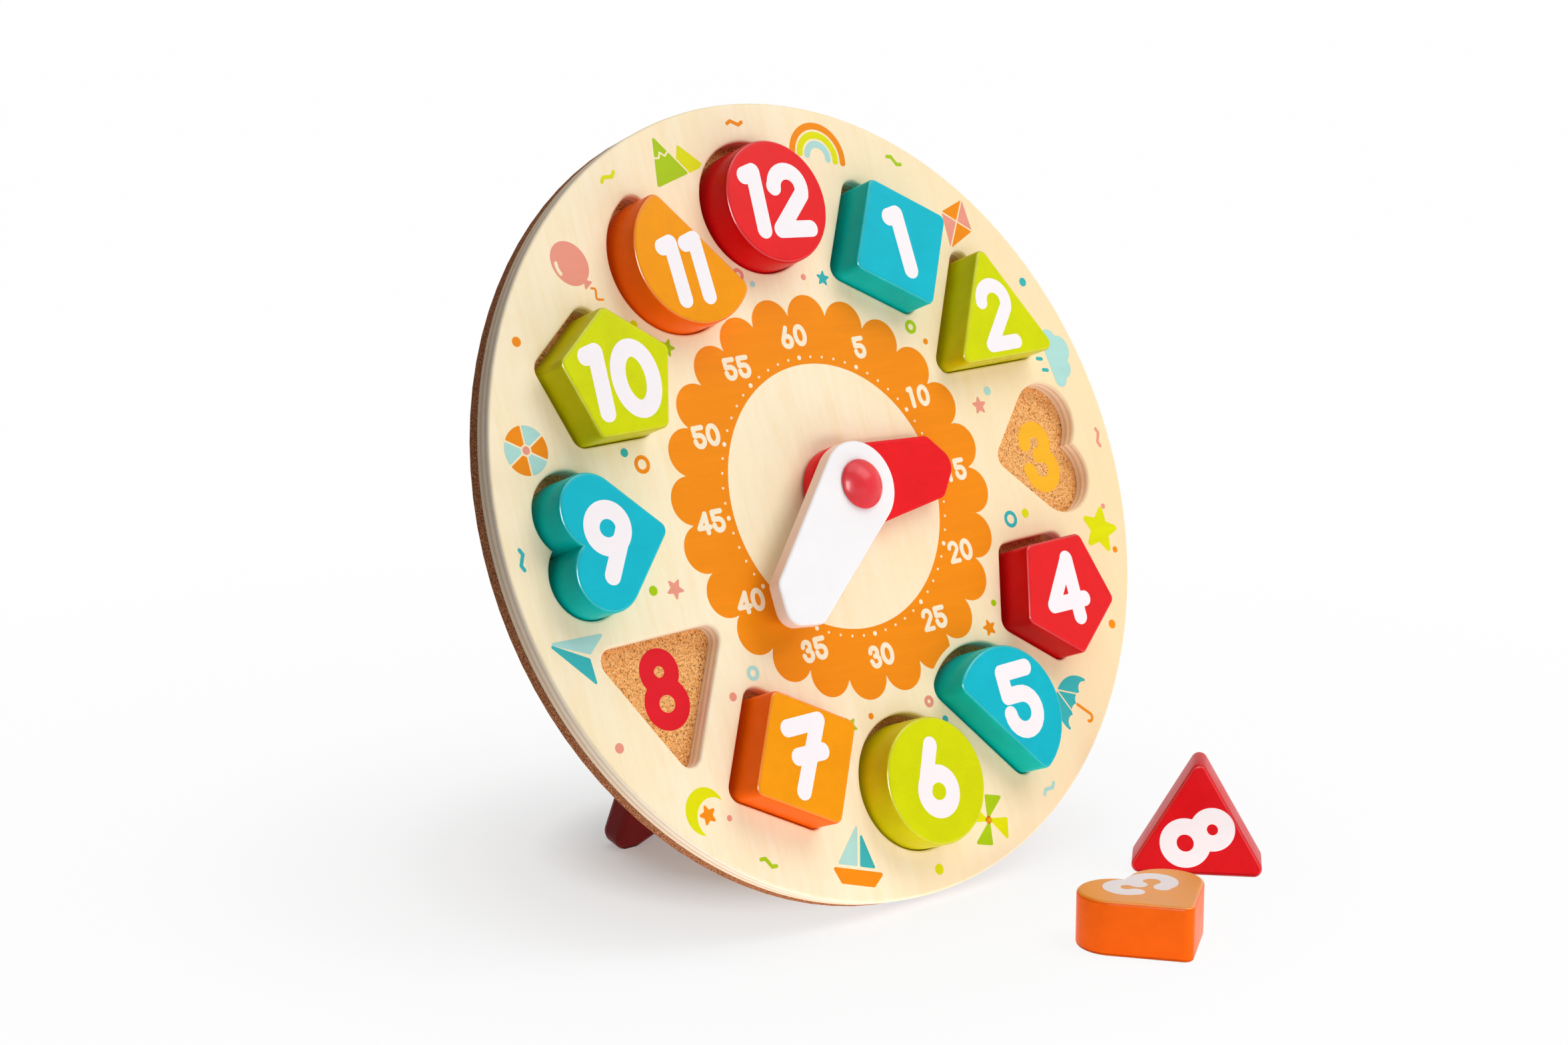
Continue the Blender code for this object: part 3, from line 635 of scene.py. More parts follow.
def cork(name):
    """Pressed brown board: fine pale granules with small dark specks, browner and denser round its rim,
    partly the cut edge's own tone and partly painted shade.
    """
    tree = Tree(name)
    speck = tree.noise(1150, 2, 0.5)
    dust = tree.noise(1800, 2, 0.6)
    big = tree.noise(45, 3, 0.5)
    tone = tree.ramp(tree.cells(1500), [(0.1, linear(236, 164, 94)), (0.5, linear(250, 188, 116)),
                                        (0.9, linear(255, 210, 146))])
    tone = tree.tint(tone, big, 0.3, 0.4, 0.8, linear(232, 160, 94))
    tone = tree.tint(tone, dust, 0.9, 0.5, 0.66, linear(182, 104, 46))
    tone = tree.tint(tone, speck, 0.9, 0.60, 0.67, linear(134, 74, 34))
    # The darker browns round the rim are partly the cut edge's own tone and partly painted shade.
    edge = tree.ramp(dust, [(0.35, linear(108, 56, 34)), (0.52, linear(174, 108, 70)),
                            (0.72, linear(222, 168, 124))])
    rim_begins, rim_full = (BOARD_RADIUS - 1.0) * MM, (BOARD_RADIUS - 0.3) * MM
    tone = tree.tint(tone, tree.distance(CENTRE), 1.0, rim_begins, rim_full, edge)
    tree.bump(tree.maths("SUBTRACT", dust, tree.grey(speck, 0.0, 0.8, 0.62, 0.72)), 0.35, 0.0003)
    return tree.done(tone, tree.grey(big, 0.75, 0.9, 0.3, 0.7), specular=0.03)


def printed(name, rgb):
    """Ink printed on the lacquered board: the grain shows faintly through it."""
    tree = Tree(name)
    base = linear(*rgb)
    grain = tree.noise(260, 5, 0.62, 0.4, stretch=(0.10, 1, 1))
    speck = tree.noise(1600, 2, 0.6)
    body = tree.ramp(grain, [(0.25, shade_of(base, 0.94)), (0.6, base), (0.85, shade_of(base, 1.05))])
    body = tree.tint(body, speck, 0.18, 0.5, 0.8, shade_of(base, 0.82))
    tree.bump(grain, 0.05, 0.0005)
    return tree.done(body, tree.grey(grain, 0.36, 0.46, 0.3, 0.7), specular=0.12)


def metal(name, rgb, rough=0.3):
    """Brushed metal: fine streaks in its tone, height and gloss."""
    tree = Tree(name)
    base = linear(*rgb)
    brush = tree.noise(2500, 4, 0.7, stretch=(0.04, 1, 1))
    body = tree.ramp(brush, [(0.3, shade_of(base, 0.82)), (0.7, shade_of(base, 1.1))])
    tree.bump(brush, 0.06, 0.0002)
    return tree.done(body, tree.grey(brush, rough - 0.06, rough + 0.1, 0.3, 0.7), metallic=1.0)


def edge_rgb(face_rgb, shaded_side_rgb, highlight_and_wear=0.08):
    """The paint on a rounded edge: between the face's and the sides', and paled towards white as a painted
    highlight, partly also rubbed wear.
    """
    return tuple(int((face + side) / 2 * (1 - highlight_and_wear) + 255 * highlight_and_wear) for face, side in zip(face_rgb, shaded_side_rgb))


PAINT_RGB = {"red": (231, 37, 40), "teal": (20, 184, 203), "lime": (211, 217, 2), "orange": (245, 153, 9)}
# The blocks' sides take a deeper, more saturated copy of each face's paint: painted shade on the sides.
SIDE_SHADED_RGB = {"red": (210, 14, 18), "teal": (0, 188, 182), "lime": (204, 196, 2), "orange": (254, 102, 4)}
paint, paint_side_shaded, paint_edge_highlight = {}, {}, {}
for key, rgb in PAINT_RGB.items():
    paint[key] = painted("paint_" + key, rgb, coat=0.05, spread=0.05, specular=0.08)
    paint_side_shaded[key] = painted("paint_side_shaded_" + key, SIDE_SHADED_RGB[key], rough=0.3, grain=0.7, coat=0.03,
                              spread=0.08, specular=0.05)
    # The rounded edges take a paler paint: a painted highlight along them, partly also rubbed wear.
    paint_edge_highlight[key] = painted("paint_edge_highlight_" + key, edge_rgb(rgb, SIDE_SHADED_RGB[key]), rough=0.22, grain=0.4,
                              spread=0.10, specular=0.5)
paint_lying = painted("paint_orange_lying", PAINT_RGB["orange"], rough=0.3, grain=0.3, coat=0.05,
                      spread=0.05, specular=0.4)
# The standing triangle's face takes a darker copy of the red paint: painted shade on its upright face.
paint_standing_shaded = painted("paint_red_standing_shaded", (220, 14, 24), rough=0.32, grain=0.6, coat=0.05,
                         spread=0.05, specular=0.06)
number_white = painted("number_white", (249, 242, 245), rough=0.36, grain=0.3, spread=0.012)
front_wood = board_front("face_wood")
edge_wood = ply_edge("face_wood_edge")
cork_board = cork("cork_board")
steel = metal("hinge_steel", (196, 197, 200))
fibre = painted("washer_fibre", (214, 206, 190), rough=0.6, coat=0.0)
leg_paint = painted("leg_paint", (104, 17, 15), rough=0.40, grain=2.4, coat=0.03, spread=0.16,
                    specular=0.08)
hand_red = painted("hand_red", (232, 28, 34), rough=0.36, grain=1.7, coat=0.04, spread=0.05,
                   specular=0.08)
hand_white = painted("hand_white", (247, 245, 246), rough=0.32, spread=0.012, grain=0.35)
# The white hand's sides take a pinkish tint: painted light bounced onto them from the coloured parts round
# them.
hand_white_side_bounce = painted("hand_white_side_bounce", (250, 226, 214), rough=0.36, spread=0.02, grain=0.35)
gloss_red = painted("hub_red", (230, 40, 52), rough=0.3, coat=0.15, spread=0.03, grain=0.3, specular=0.3)

# CAD nodes that keep their own shape
FINISH = {"back_board": cork_board, "hub_washer": fibre, "hub_nut": steel, "stand_leg": leg_paint}
for node, item in frame["nodes"].items():
    if node.startswith("hinge"):
        FINISH[node] = steel
    if node in FINISH:
        for entry in item.material_slots:
            entry.material = FINISH[node]


# The board
def build_board():
    shape = bmesh.new()
    lap, bevel = 0.2, 0.15
    bottom = -(FACE_PLY + lap)
    open_top, open_bottom = [], []

    def wall(outline, radius):
        """One upright wall with its upper edge rounded. A negative grow leads into the wood."""
        rings = rounding(outline, radius, 0.0, 1, 5)
        rings.append(at_height(outline(0.0), bottom + bevel))
        rings.append(at_height(outline(-bevel), bottom))
        rows = add_rings(shape, rings)
        open_top.extend(edges_of(shape, rows[0]))
        open_bottom.extend(edges_of(shape, rows[-1]))

    def recess(place, grow):
        outline, spot, turn = place
        points = turn_and_move(outline(BLOCK_CLEARANCE + grow), turn, spot)
        return turn_and_move(points, DIAL_TURN, (0, 0))

    wall(lambda grow: circle_outline(grow, BOARD_RADIUS, 288), 1.0)
    wall(lambda grow: circle_outline(-grow, BORE_RADIUS, 48), 0.4)
    for place in PLACES.values():
        wall(lambda grow: recess(place, -grow), RECESS_ROUND)
    bmesh.ops.triangle_fill(shape, edges=open_top, use_beauty=True, use_dissolve=False)
    bmesh.ops.triangle_fill(shape, edges=open_bottom, use_beauty=True, use_dissolve=False)
    mesh = finish_mesh("face_board_dressed", shape)
    item = to_object(mesh, front_wood, edge_wood)
    front_depth = 0.75 * MM
    for face in mesh.polygons:
        low = min(mesh.vertices[index].co.z for index in face.vertices)
        face.material_index = 0 if low > -front_depth else 1
    mesh.transform(BOARD)
    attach(item, "board")
    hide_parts("face_board")


build_board()


# Print on the board
PRINT_TOP = 0.06
PRINT_RGB = {
    "orange": (245, 142, 15), "green": (171, 203, 15), "yellow": (226, 225, 5),
    "sky": (176, 221, 214), "salmon": (238, 154, 132), "teal": (60, 180, 184),
}
print_loops = {key: [] for key in PRINT_RGB}

# Print keeps these distances from a block's outline and from the rim
PRINT_MARGIN = RECESS_EDGE + 0.9
RIM_MARGIN = 2.2

# No block reaches further than this from its middle
BLOCK_REACH = 34
BLOCK_FIELDS = {number: shape_of(turn_and_move(outline(0), turn, spot), 0)
                for number, (outline, spot, turn) in PLACES.items()}


def add_print(name, loops, rgb, bottom=0.0, top=PRINT_TOP, ink=None):
    """One colour of print on the dial, as a thin plate that rides on the board."""
    item = to_object(flat_mesh(name, loops, bottom, top, DIAL), printed(ink or name, rgb))
    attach(item, "board")


def motif(colour, centre, reach, part, cell=0.3):
    """Adds one printed shape, cut back from the recesses near it and from the rim."""
    near = [BLOCK_FIELDS[number] for number, (_, spot, _) in PLACES.items()
            if math.dist(spot, centre) < reach + BLOCK_REACH]

    def field(x, y):
        value = np.maximum(part(x - centre[0], y - centre[1]), disc(BOARD_RADIUS - RIM_MARGIN)(x, y))
        return np.maximum(value, PRINT_MARGIN - either(*near)(x, y)) if near else value

    low = (centre[0] - reach - 1, centre[1] - reach - 1)
    high = (centre[0] + reach + 1, centre[1] + reach + 1)
    print_loops[colour] += loops_of(field, low, high, cell)


def rainbow():
    bands = []
    for colour, radius in (("orange", 12.2), ("yellow", 8.6), ("sky", 5.0)):
        bow = both(hoop(radius, 1.35, 0, -5), above(-5))
        bands.append((colour, either(bow, disc(1.35, radius, -5), disc(1.35, -radius, -5))))
    return bands


def kite():
    whole = shape_of([(0, 12), (7.6, 2.6), (0, -9), (-7.6, 2.6)])
    bars = either(line_of([(0, -14), (0, 16)], 0.35), line_of([(-12, 2.6), (12, 2.6)], 0.35))
    upper_right = shape_of([(0, 2.6), (20, 2.6), (20, 20), (0, 20)], 0)
    lower_left = shape_of([(0, 2.6), (-20, 2.6), (-20, -20), (0, -20)], 0)
    quarters = either(upper_right, lower_left)
    return [("salmon", without(both(whole, quarters), bars)), ("orange", without(whole, bars, quarters))]


def cloud():
    lumps = [disc(4.2, -7.0, -1.6), disc(6.0, -1.6, 1.8), disc(4.8, 5.4, 0.4), disc(3.2, 9.6, -2.6)]
    body = both(either(*lumps, shape_of([(-7, -5.2), (9.6, -5.2), (6, 2), (-4, 2)], 0.6)), above(-5.8))
    starts = ((-5.6, -8.0), (-0.6, -9.0), (4.4, -8.0))
    drops = [line_of([(x, y), (x - 0.7, y - 2.2)], 0.75) for x, y in starts]
    return [("sky", body), ("teal", either(*drops))]


def balloon():
    knot = shape_of([(0, -8), (1.7, -10.2), (-1.7, -10.2)], 0.35)
    glint = line_of([polar(5.8, bearing) for bearing in (140, 150, 160, 170, 180)], 0.75)
    string = line_of([(1.1 * math.sin(step * 0.7), -11.6 - 0.6 * step) for step in range(11)], 0.4)
    return [("salmon", without(either(egg(8.6, 0.86), knot), glint)), ("orange", string)]


def pinwheel():
    blade = shape_of([(0.9, 0.9), (10.6, 1.2), (6.2, 6.4)], 0.6)
    first = either(blade, spun(blade, 180))
    second = either(spun(blade, 90), spun(blade, 270))
    return [("green", first), ("yellow", second), ("orange", disc(1.5))]


def boat():
    hull = shape_of([(-10.5, -4.6), (10.5, -4.6), (7.2, -8.8), (-7.2, -8.8)], 0.7)
    mainsail = shape_of([(-0.9, 11.2), (-0.9, -2.2), (-8.6, -2.2)])
    jib = shape_of([(1.3, 8.2), (1.3, -2.2), (7.2, -2.2)])
    return [("orange", hull), ("sky", mainsail), ("teal", jib)]


def moon_star():
    moon = without(disc(8.4, -1.6, 0), disc(7.2, 2.4, 1.4))
    return [("yellow", moon), ("orange", star(3.6, 1.9, 0.5)), ("salmon", disc(1.1, 6.6, 6.4))]


def umbrella():
    half = both(disc(11.4, 0, -1.5), above(-1.5))
    scallops = [disc(3.0, x, -2.3) for x in (-7.6, -2.55, 2.55, 7.6)]
    ribs = [line_of([(0, 10.2), (x, -3)], 0.32) for x in (-5.1, 5.1)]
    hook = arc((-1.6, -8.6), 1.6, 0, -math.degrees(3), 12)
    stick = either(line_of([(0, -1.4), (0, -8.6)], 0.6), line_of(hook, 0.6))
    return [("teal", without(half, *scallops, *ribs)), ("orange", stick)]


def peaks():
    high = [(-11, -6.5), (3.5, -6.5), (-3.6, 9.2)]
    low = shape_of([(-1.4, -6.5), (12, -6.5), (5.4, 3.2)], 0.6)
    snow = line_of([(-8.4, 3.4), (-5.2, 2.4), (-3.8, 4.2), (-2.2, 2.2), (0.6, 3.6)], 0.38)
    return [("green", without(shape_of(high, 0.6), snow)), ("yellow", without(low, shape_of(high, 1.3)))]


def ball():
    whole = disc(8.8)
    middle = disc(2.2)
    slits = either(*[line_of([polar(11, turn), polar(-11, turn)], 0.35) for turn in (0, 60, 120)])
    wedges = [shape_of([(0, 0), polar(14, turn), polar(14, turn + 60)], 0) for turn in (0, 120, 240)]
    wedge = either(*wedges)
    return [("orange", without(both(whole, wedge), slits, middle)),
            ("sky", without(whole, wedge, slits, middle)), ("salmon", disc(1.5))]


def plane():
    wings = []
    for colour, side in (("sky", 1), ("teal", -1)):
        wings.append((colour, shape_of([(0.5 * side, 11), (8.4 * side, -7.6), (1.2 * side, -4.0)])))
    return wings


def stars():
    big = star(9.4, 4.9, 1.2)
    return [("yellow", big), ("orange", disc(1.3, 8.6, 6.2)), ("salmon", disc(1.1, -9.2, 4.6))]


# Each picture, its distance from the dial's middle, bearing, and tilt from upright
PICTURE_REACH = 18.5
PICTURES = [
    (rainbow, 136.5, 74.0, 0), (kite, 134.5, 43.5, 12), (cloud, 138, 15, -8), (stars, 135, -15.5, 10),
    (umbrella, 134, -47.5, 186), (pinwheel, 134.5, -77, 20), (boat, 134.5, -105.5, 176),
    (moon_star, 138, -134, 160), (plane, 135, -165, -40), (ball, 135, 164.5, 14),
    (balloon, 134, 133, -10), (peaks, 135.5, 104.5, 0),
]
for picture, distance, bearing, tilt in PICTURES:
    for colour, part in picture():
        motif(colour, polar(distance, bearing), PICTURE_REACH, spun(part, bearing - 90 + tilt))


def small_shape(kind, size):
    if kind == "star":
        return star(size, size * 0.5, 0.4)
    if kind == "ring":
        return hoop(size, 0.75)
    if kind == "dash":
        return line_of([(-size / 2, 0.04), (-size / 4, 0.9), (0, 0), (size / 4, -0.9), (size / 2, 0)], 0.7)
    return disc(size)


# Small shapes round the pictures: shape, colour, distance from the middle, bearing, size
SMALL = [
    ("star", "teal", 83, 74.5, 3.0), ("dot", "salmon", 82.5, 81, 1.2), ("ring", "green", 82, 43.5, 2.0),
    ("dot", "orange", 82, 37.5, 1.2), ("star", "salmon", 86.5, 14.5, 3.6), ("dot", "sky", 94, 16.5, 1.8),
    ("ring", "teal", 87, -16, 2.6), ("dot", "yellow", 95, -14, 1.8), ("star", "orange", 84.5, -47.5, 3.3),
    ("dot", "green", 82.5, -40.5, 1.3), ("ring", "salmon", 84.5, -78.3, 1.5),
    ("dot", "teal", 93.5, -76, 1.4), ("star", "green", 86.5, -105.5, 3.4), ("dot", "orange", 83, -98.5, 1.2),
    ("ring", "sky", 82.3, -137, 2.0), ("dot", "salmon", 95, -139, 1.6), ("star", "salmon", 86.5, -166, 3.8),
    ("dot", "green", 95.5, -168, 1.8),
    ("ring", "orange", 87, 164, 2.6), ("dot", "teal", 94.5, 162, 1.6), ("star", "green", 86.5, 133, 3.4),
    ("dot", "yellow", 102, 134, 1.5), ("ring", "salmon", 87.5, 101.8, 1.9), ("dot", "sky", 82.5, 98.5, 1.2),
    ("dash", "orange", 142.6, 90, 7), ("dash", "green", 142.8, 58.5, 7), ("dot", "teal", 142.5, 28, 1.8),
    ("dash", "salmon", 143.4, 0, 7), ("dot", "orange", 142.6, -31, 1.8), ("dash", "sky", 142.6, -63, 7),
    ("dot", "yellow", 142.4, -90, 2.0), ("dash", "green", 142.8, -122, 7),
    ("dot", "salmon", 142.6, -151, 1.8), ("dash", "teal", 143.4, 180, 7), ("dot", "orange", 142.6, 149, 1.8),
    ("dash", "yellow", 142.8, 117, 7),
]
for kind, colour, distance, bearing, size in SMALL:
    motif(colour, polar(distance, bearing), size + 3, spun(small_shape(kind, size), bearing - 90), 0.25)
for key, loops in print_loops.items():
    add_print("print_" + key, loops, PRINT_RGB[key])


# The scalloped band and its minutes
SUN_MIDDLE = (0.2, -0.8)
SUN_RADIUS = 68
SUN_HOLE = 50
PETALS = 24
PETAL_RADIUS = 8.9
PETAL_RING = 67.4


def sun_band(x, y):
    """A ring with round petals, cut back from the two recesses that reach it."""
    bearings = [(index + 0.5) * 360 / PETALS for index in range(PETALS)]
    petals = [disc(PETAL_RADIUS, *polar(PETAL_RING, bearing)) for bearing in bearings]
    band = without(either(disc(SUN_RADIUS), *petals), disc(SUN_HOLE))
    near = either(BLOCK_FIELDS[5], BLOCK_FIELDS[11])
    return np.maximum(band(x - SUN_MIDDLE[0], y - SUN_MIDDLE[1]), RECESS_EDGE + 1.6 - near(x, y))


MINUTE_RING = 60.9
MINUTE_SIZE = 0.30
DIGIT_STEP = 6.5
TICK_RING = 52.6
minute_loops = []
for hour in range(12):
    digits = str(5 * hour or 60)
    middle = moved(SUN_MIDDLE, polar(MINUTE_RING, 90 - 30 * hour))
    for index, digit in enumerate(digits):
        shift = (index - (len(digits) - 1) / 2) * DIGIT_STEP
        minute_loops += scaled(LOOPS[digit], MINUTE_SIZE, 0, moved(middle, (shift, 0)))
for minute in range(60):
    tick = moved(SUN_MIDDLE, polar(TICK_RING, 90 - 6 * minute))
    minute_loops.append(arc(tick, 0.9 if minute % 5 == 0 else 0.5, 0, 360)[:-1])
add_print("print_sun", loops_of(sun_band, (-81, -81), (81, 81), 0.4), PRINT_RGB["orange"])
add_print("print_minutes", minute_loops, (252, 236, 208), top=PRINT_TOP + 0.04, ink="print_cream")


# Blocks and their numerals
NUMERAL_TOP = 0.07
RECESS_RGB = {"red": (228, 30, 44), "teal": (28, 176, 190), "lime": (200, 208, 20),
              "orange": (252, 186, 44)}

# The middle of each numeral on the dial
NUMERAL_CENTRE = {
    12: (-1.0, 109.9), 1: (53.5, 86.8), 2: (93.3, 53.7), 3: (114.3, -1.9), 4: (89.3, -55.6),
    5: (50.1, -91.3), 6: (-1.3, -109.4), 7: (-55.1, -89.4), 8: (-95.0, -53.5), 9: (-115.1, -1.8),
    10: (-92.2, 52.4), 11: (-52.1, 87.5),
}

# A seated block has slid straight down until only the gap is left below it
SAG = polar(BLOCK_CLEARANCE - GAP, -90 - DIAL_TURN)

# The two loose blocks: where each lies or stands, its face's paint, and its numeral's turn and place
LOOSE = {
    3: (Matrix.Translation((0.0285, -0.09075, BLOCK_HALF * MM))
        @ Matrix.Rotation(math.radians(-11.3), 4, "Z"),
        paint_lying, 90, (0, -0.3)),
    8: (Matrix.Translation((0.0971, -0.05785, TRIANGLE_REACH / 2 * MM))
        @ Matrix.Rotation(math.radians(-49.7), 4, "Z") @ Matrix.Rotation(math.pi / 2, 4, "X")
        @ Matrix.Translation((0, 0, -BLOCK_HALF * MM)),
        paint_standing_shaded, -60, (0, 0)),
}


def block_mesh(name, outline, place):
    """A block's slab; its material slots are 0 the two flat faces, 1 the sides and 2 the rounded edges."""
    mesh = slab_mesh(name, outline, BLOCK_HALF, BLOCK_ROUND)
    face_depth, edge_depth = 0.12 * MM, 0.55 * MM
    for face in mesh.polygons:
        level = sum(mesh.vertices[index].co.z for index in face.vertices) / len(face.vertices)
        drop = BLOCK_HALF * MM - abs(level)
        if drop < face_depth:
            face.material_index = 0
        else:
            face.material_index = 2 if drop < edge_depth else 1
    mesh.transform(place)
    return mesh


for number, (outline, spot, turn) in PLACES.items():
    name = "number_%02d" % number
    key = COLOURS[number % 4]
    label = str(number)
    centre = NUMERAL_CENTRE[number]
    if number in LOOSE:
        place, face_paint, numeral_turn, numeral_spot = LOOSE[number]
        loops = scaled(LOOPS[label], 1.0, numeral_turn, numeral_spot)
    else:
        face_paint = paint[key]
        seated = moved(spot, SAG)
        seat = Matrix.Translation((seated[0] * MM, seated[1] * MM, (BLOCK_HALF - FACE_PLY) * MM))
        place = DIAL @ seat @ Matrix.Rotation(math.radians(turn), 4, "Z")
        loops = scaled(LOOPS[label], 1.0, 0, (centre[0] - seated[0], centre[1] - seated[1]))
        loops = [turn_and_move(loop, -turn, (0, 0)) for loop in loops]
    slab = block_mesh("block_%02d_dressed" % number, outline, place)
    block = to_object(slab, face_paint, paint_side_shaded[key], paint_edge_highlight[key])
    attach(block, name)
    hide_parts("block_%02d" % number)
    plate = flat_mesh("numeral_%02d" % number, loops, BLOCK_HALF, BLOCK_HALF + NUMERAL_TOP, place)
    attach(to_object(plate, number_white), name)
    floor_loops = scaled(LOOPS[label], 0.86 if number > 9 else 1.0, 0, centre)
    add_print("recess_numeral_%02d" % number, floor_loops, RECESS_RGB[key], RECESS_FLOOR,
              RECESS_FLOOR + NUMERAL_TOP)


# Hands
HAND_THICKNESS = 6.5
HAND_HEAD = 16.5
HAND_HALF_WIDTH = 12.0
HAND_CORNER = 4.0
HAND_POINT_DEPTH = 7.5
HAND_POINT_CORNER = 7.0
HAND_ROUND = 1.1
HOUR_BOTTOM = 3 * GAP
MINUTE_BOTTOM = HOUR_BOTTOM + HAND_THICKNESS + 2 * GAP
CAP_BOTTOM = MINUTE_BOTTOM + HAND_THICKNESS + GAP


def fillet(before, corner, after, radius, grow):
    """A corner's rounding; grow is added to its radius about the same middle."""
    middle = Vector(corner)
    to_before = (Vector(before) - middle).normalized()
    to_after = (Vector(after) - middle).normalized()
    half = to_before.angle(to_after) / 2
    centre = middle + (to_before + to_after).normalized() * (radius / math.sin(half))
    first = middle + to_before * (radius / math.tan(half)) - centre
    last = middle + to_after * (radius / math.tan(half)) - centre
    start = math.degrees(math.atan2(first.y, first.x))
    sweep = (math.degrees(math.atan2(last.y, last.x)) - start + 180) % 360 - 180
    return arc((centre.x, centre.y), radius + grow, start, start + sweep, 8)


def hand_outline(length, grow):
    """A round head, two straight sides and a blunt point; grow moves every side of it."""
    shoulder = length - HAND_POINT_DEPTH
    upper, lower = (shoulder, HAND_HALF_WIDTH), (shoulder, -HAND_HALF_WIDTH)
    point = (length + HAND_POINT_CORNER - HAND_CORNER, 0)
    reach = math.hypot(shoulder, HAND_HALF_WIDTH)
    start = math.degrees(math.atan2(HAND_HALF_WIDTH, shoulder) + math.acos(HAND_HEAD / reach))
    outline = arc((0, 0), HAND_HEAD + grow, start, 360 - start, 64)
    outline += fillet(polar(HAND_HEAD, -start), lower, point, HAND_CORNER, grow)
    outline += fillet(lower, point, upper, HAND_POINT_CORNER, grow)
    outline += fillet(point, upper, polar(HAND_HEAD, start), HAND_CORNER, grow)
    return outline


def hand_mesh(name, length, bearing, bottom):
    shape = bmesh.new()
    top = bottom + HAND_THICKNESS
    bore = circle_outline(0, BORE_RADIUS, 48)
    rings = rounded_rings(lambda grow: hand_outline(length, grow), bottom, top, HAND_ROUND, 6)
    sides = add_rings(shape, rings)
    walls = add_rings(shape, [at_height(bore, bottom), at_height(bore, top)])
    for end in (0, -1):
        edges = edges_of(shape, sides[end]) + edges_of(shape, walls[end])
        bmesh.ops.triangle_fill(shape, edges=edges, use_beauty=True, use_dissolve=False)
    return finish_mesh(name, shape, DIAL @ Matrix.Rotation(math.radians(bearing), 4, "Z"))


hour = to_object(hand_mesh("hour_hand_dressed", 53.5, 2.0, HOUR_BOTTOM), hand_red)
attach(hour, "hour")
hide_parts("hour_hand")

minute_mesh = hand_mesh("minute_hand_dressed", 63.5, 221.3, MINUTE_BOTTOM)
# The minute hand's sides take the pinkish side paint, its painted bounce light.
for face in minute_mesh.polygons:
    face.material_index = 0 if abs(face.normal.dot(OUTWARD)) > 0.5 else 1
minute = to_object(minute_mesh, hand_white, hand_white_side_bounce)
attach(minute, "minute")
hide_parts("minute_hand")


# Hub: a domed cap with a rounded lip, and its shank down to a chamfered end behind the board
def hub_profile():
    cap_radius, skirt, dome, lip = 9.25, 1.0, 4.3, 0.35
    shank_end = -14.9
    cap_edge = CAP_BOTTOM + skirt
    dome_radius = (cap_radius ** 2 + dome ** 2) / (2 * dome)
    dome_centre = cap_edge + dome - dome_radius
    edge_bearing = math.degrees(math.atan2(cap_edge - dome_centre, cap_radius))
    profile = [(0, dome_centre + dome_radius)]
    profile += arc((0, dome_centre), dome_radius, 88, edge_bearing + 3, 26)
    profile += arc((cap_radius - 2 * lip, cap_edge - lip), 0.68, 48, 0, 5)
    profile += [(cap_radius, CAP_BOTTOM + 0.4)]
    profile += arc((cap_radius - lip, CAP_BOTTOM + lip), lip, 0, -90, 4)
    profile += [(SHANK_RADIUS, CAP_BOTTOM), (SHANK_RADIUS, shank_end + 0.5)]
    profile += [(SHANK_RADIUS - 0.4, shank_end), (0, shank_end)]
    return profile


peg = to_object(turned_mesh("hub_peg_dressed", hub_profile(), 72, DIAL, 40), gloss_red)
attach(peg, "board")
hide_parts("hub_peg")


# Floor, light and camera
def seen_directly(nodes, links):
    """1 for what the camera, a mirror or glass sees, and 0 for the light that falls on surfaces."""
    path = nodes.new("ShaderNodeLightPath")
    result = path.outputs["Is Camera Ray"]
    for kind in ("Is Glossy Ray", "Is Transmission Ray"):
        node = nodes.new("ShaderNodeMath")
        node.operation = "MAXIMUM"
        links.new(result, node.inputs[0])
        links.new(path.outputs[kind], node.inputs[1])
        result = node.outputs[0]
    return result


def floor_material():
    """White to the eye, fading to the shadow that falls on it near the dial's foot."""
    tree = Tree("floor_white")
    tree.nodes.remove(tree.shader)
    diffuse = tree.node("BsdfDiffuse", {"Color": (0.915, 0.94, 0.965, 1)}).outputs[0]
    white = tree.node("Emission", {"Color": (1, 1, 1, 1), "Strength": 1.0}).outputs[0]
    share_by_distance = ((0.045, 0.25), (0.085, 0.70), (0.15, 0.88), (0.24, 0.965), (0.6, 0.995))
    stops = [(distance, (share, share, share, 1.0)) for distance, share in share_by_distance]
    fade = tree.ramp(tree.distance((0.0, 0.085, 0.0)), stops)
    whiteness = tree.maths("MULTIPLY", seen_directly(tree.nodes, tree.links), fade)
    blend = tree.node("MixShader", {"Fac": whiteness, 1: diffuse, 2: white})
    tree.links.new(blend.outputs[0], tree.nodes["Material Output"].inputs["Surface"])
    return tree.material


floor_mesh = bpy.data.meshes.new("floor")
shape = bmesh.new()
bmesh.ops.create_grid(shape, x_segments=1, y_segments=1, size=12.0)
shape.to_mesh(floor_mesh)
shape.free()
to_object(floor_mesh, floor_material())

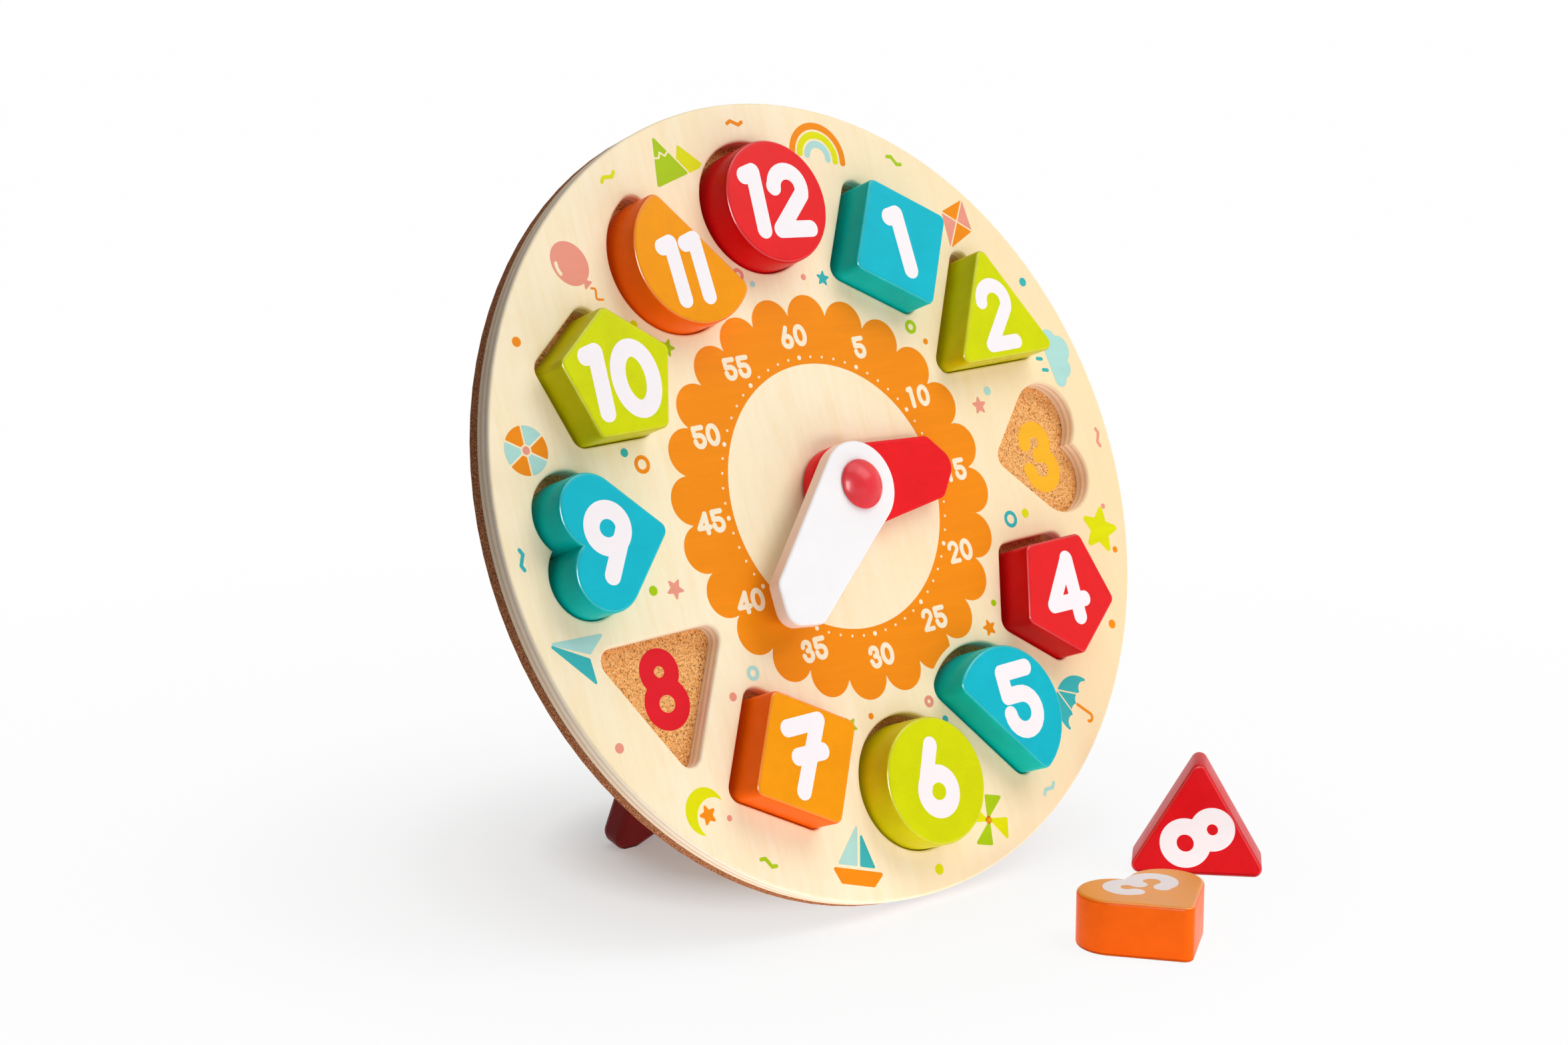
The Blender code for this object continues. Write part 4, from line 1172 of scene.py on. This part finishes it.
scene = bpy.context.scene
scene.world = bpy.data.worlds.new("studio")
scene.world.use_nodes = True
nodes, links = scene.world.node_tree.nodes, scene.world.node_tree.links
nodes["Background"].inputs["Color"].default_value = (1, 1, 1, 1)
strength = nodes.new("ShaderNodeMapRange")
strength.inputs["To Min"].default_value = 0.136
strength.inputs["To Max"].default_value = 1.0
links.new(seen_directly(nodes, links), strength.inputs["Value"])
links.new(strength.outputs["Result"], nodes["Background"].inputs["Strength"])


def area_light(name, direction, distance, size, power, colour=(1, 1, 1)):
    data = bpy.data.lights.new(name, "AREA")
    data.shape = "RECTANGLE"
    data.size, data.size_y = size
    data.energy = power
    data.color = colour
    item = bpy.data.objects.new(name, data)
    scene.collection.objects.link(item)
    towards = Vector(direction).normalized()
    item.location = CENTRE + towards * distance
    item.visible_camera = False
    item.rotation_euler = towards.to_track_quat("Z", "Y").to_euler()
    return item


def floor_light(name, middle, size, power):
    """The pale floor's own soft light, thrown upwards from just above it."""
    item = area_light(name, (0, 0, -1), CENTRE.z, size, power)
    item.location = (*middle, 0.0006)
    item.visible_glossy = False


area_light("key", (0.44, -0.50, 0.75), 1.5, (0.9, 0.9), 9.0, (1.0, 0.99, 0.975))
area_light("front", (-0.15, -1.0, 0.0), 1.5, (1.3, 0.26), 6.2).visible_glossy = False
area_light("top", (0.10, -0.10, 1.0), 1.6, (1.2, 1.2), 8.0)
floor_light("bounce", (0.35, -0.30), (1.1, 1.1), 2.6)
area_light("glint", (-0.75, -0.58, 0.32), 1.3, (0.40, 0.7), 21.0).visible_diffuse = False

# The camera's place and its tilt, roll and bearing are fitted to the dial's two rims and its recesses
CAMERA_PLACE = (-0.680320, -0.712552, 0.332051)
CAMERA_TURNS = (78.9076, 0.0786, -41.1793)
camera_data = bpy.data.cameras.new("camera")
camera_data.sensor_fit = "HORIZONTAL"
camera_data.sensor_width = 36.0
camera_data.lens = 64.29
camera_data.clip_start = 0.01
camera_data.clip_end = 100.0
camera = bpy.data.objects.new("camera", camera_data)
scene.collection.objects.link(camera)
camera.location = CAMERA_PLACE
camera.rotation_euler = [math.radians(turn) for turn in CAMERA_TURNS]
scene.camera = camera
scene.view_settings.view_transform = "Standard"

bpy.context.view_layer.update()
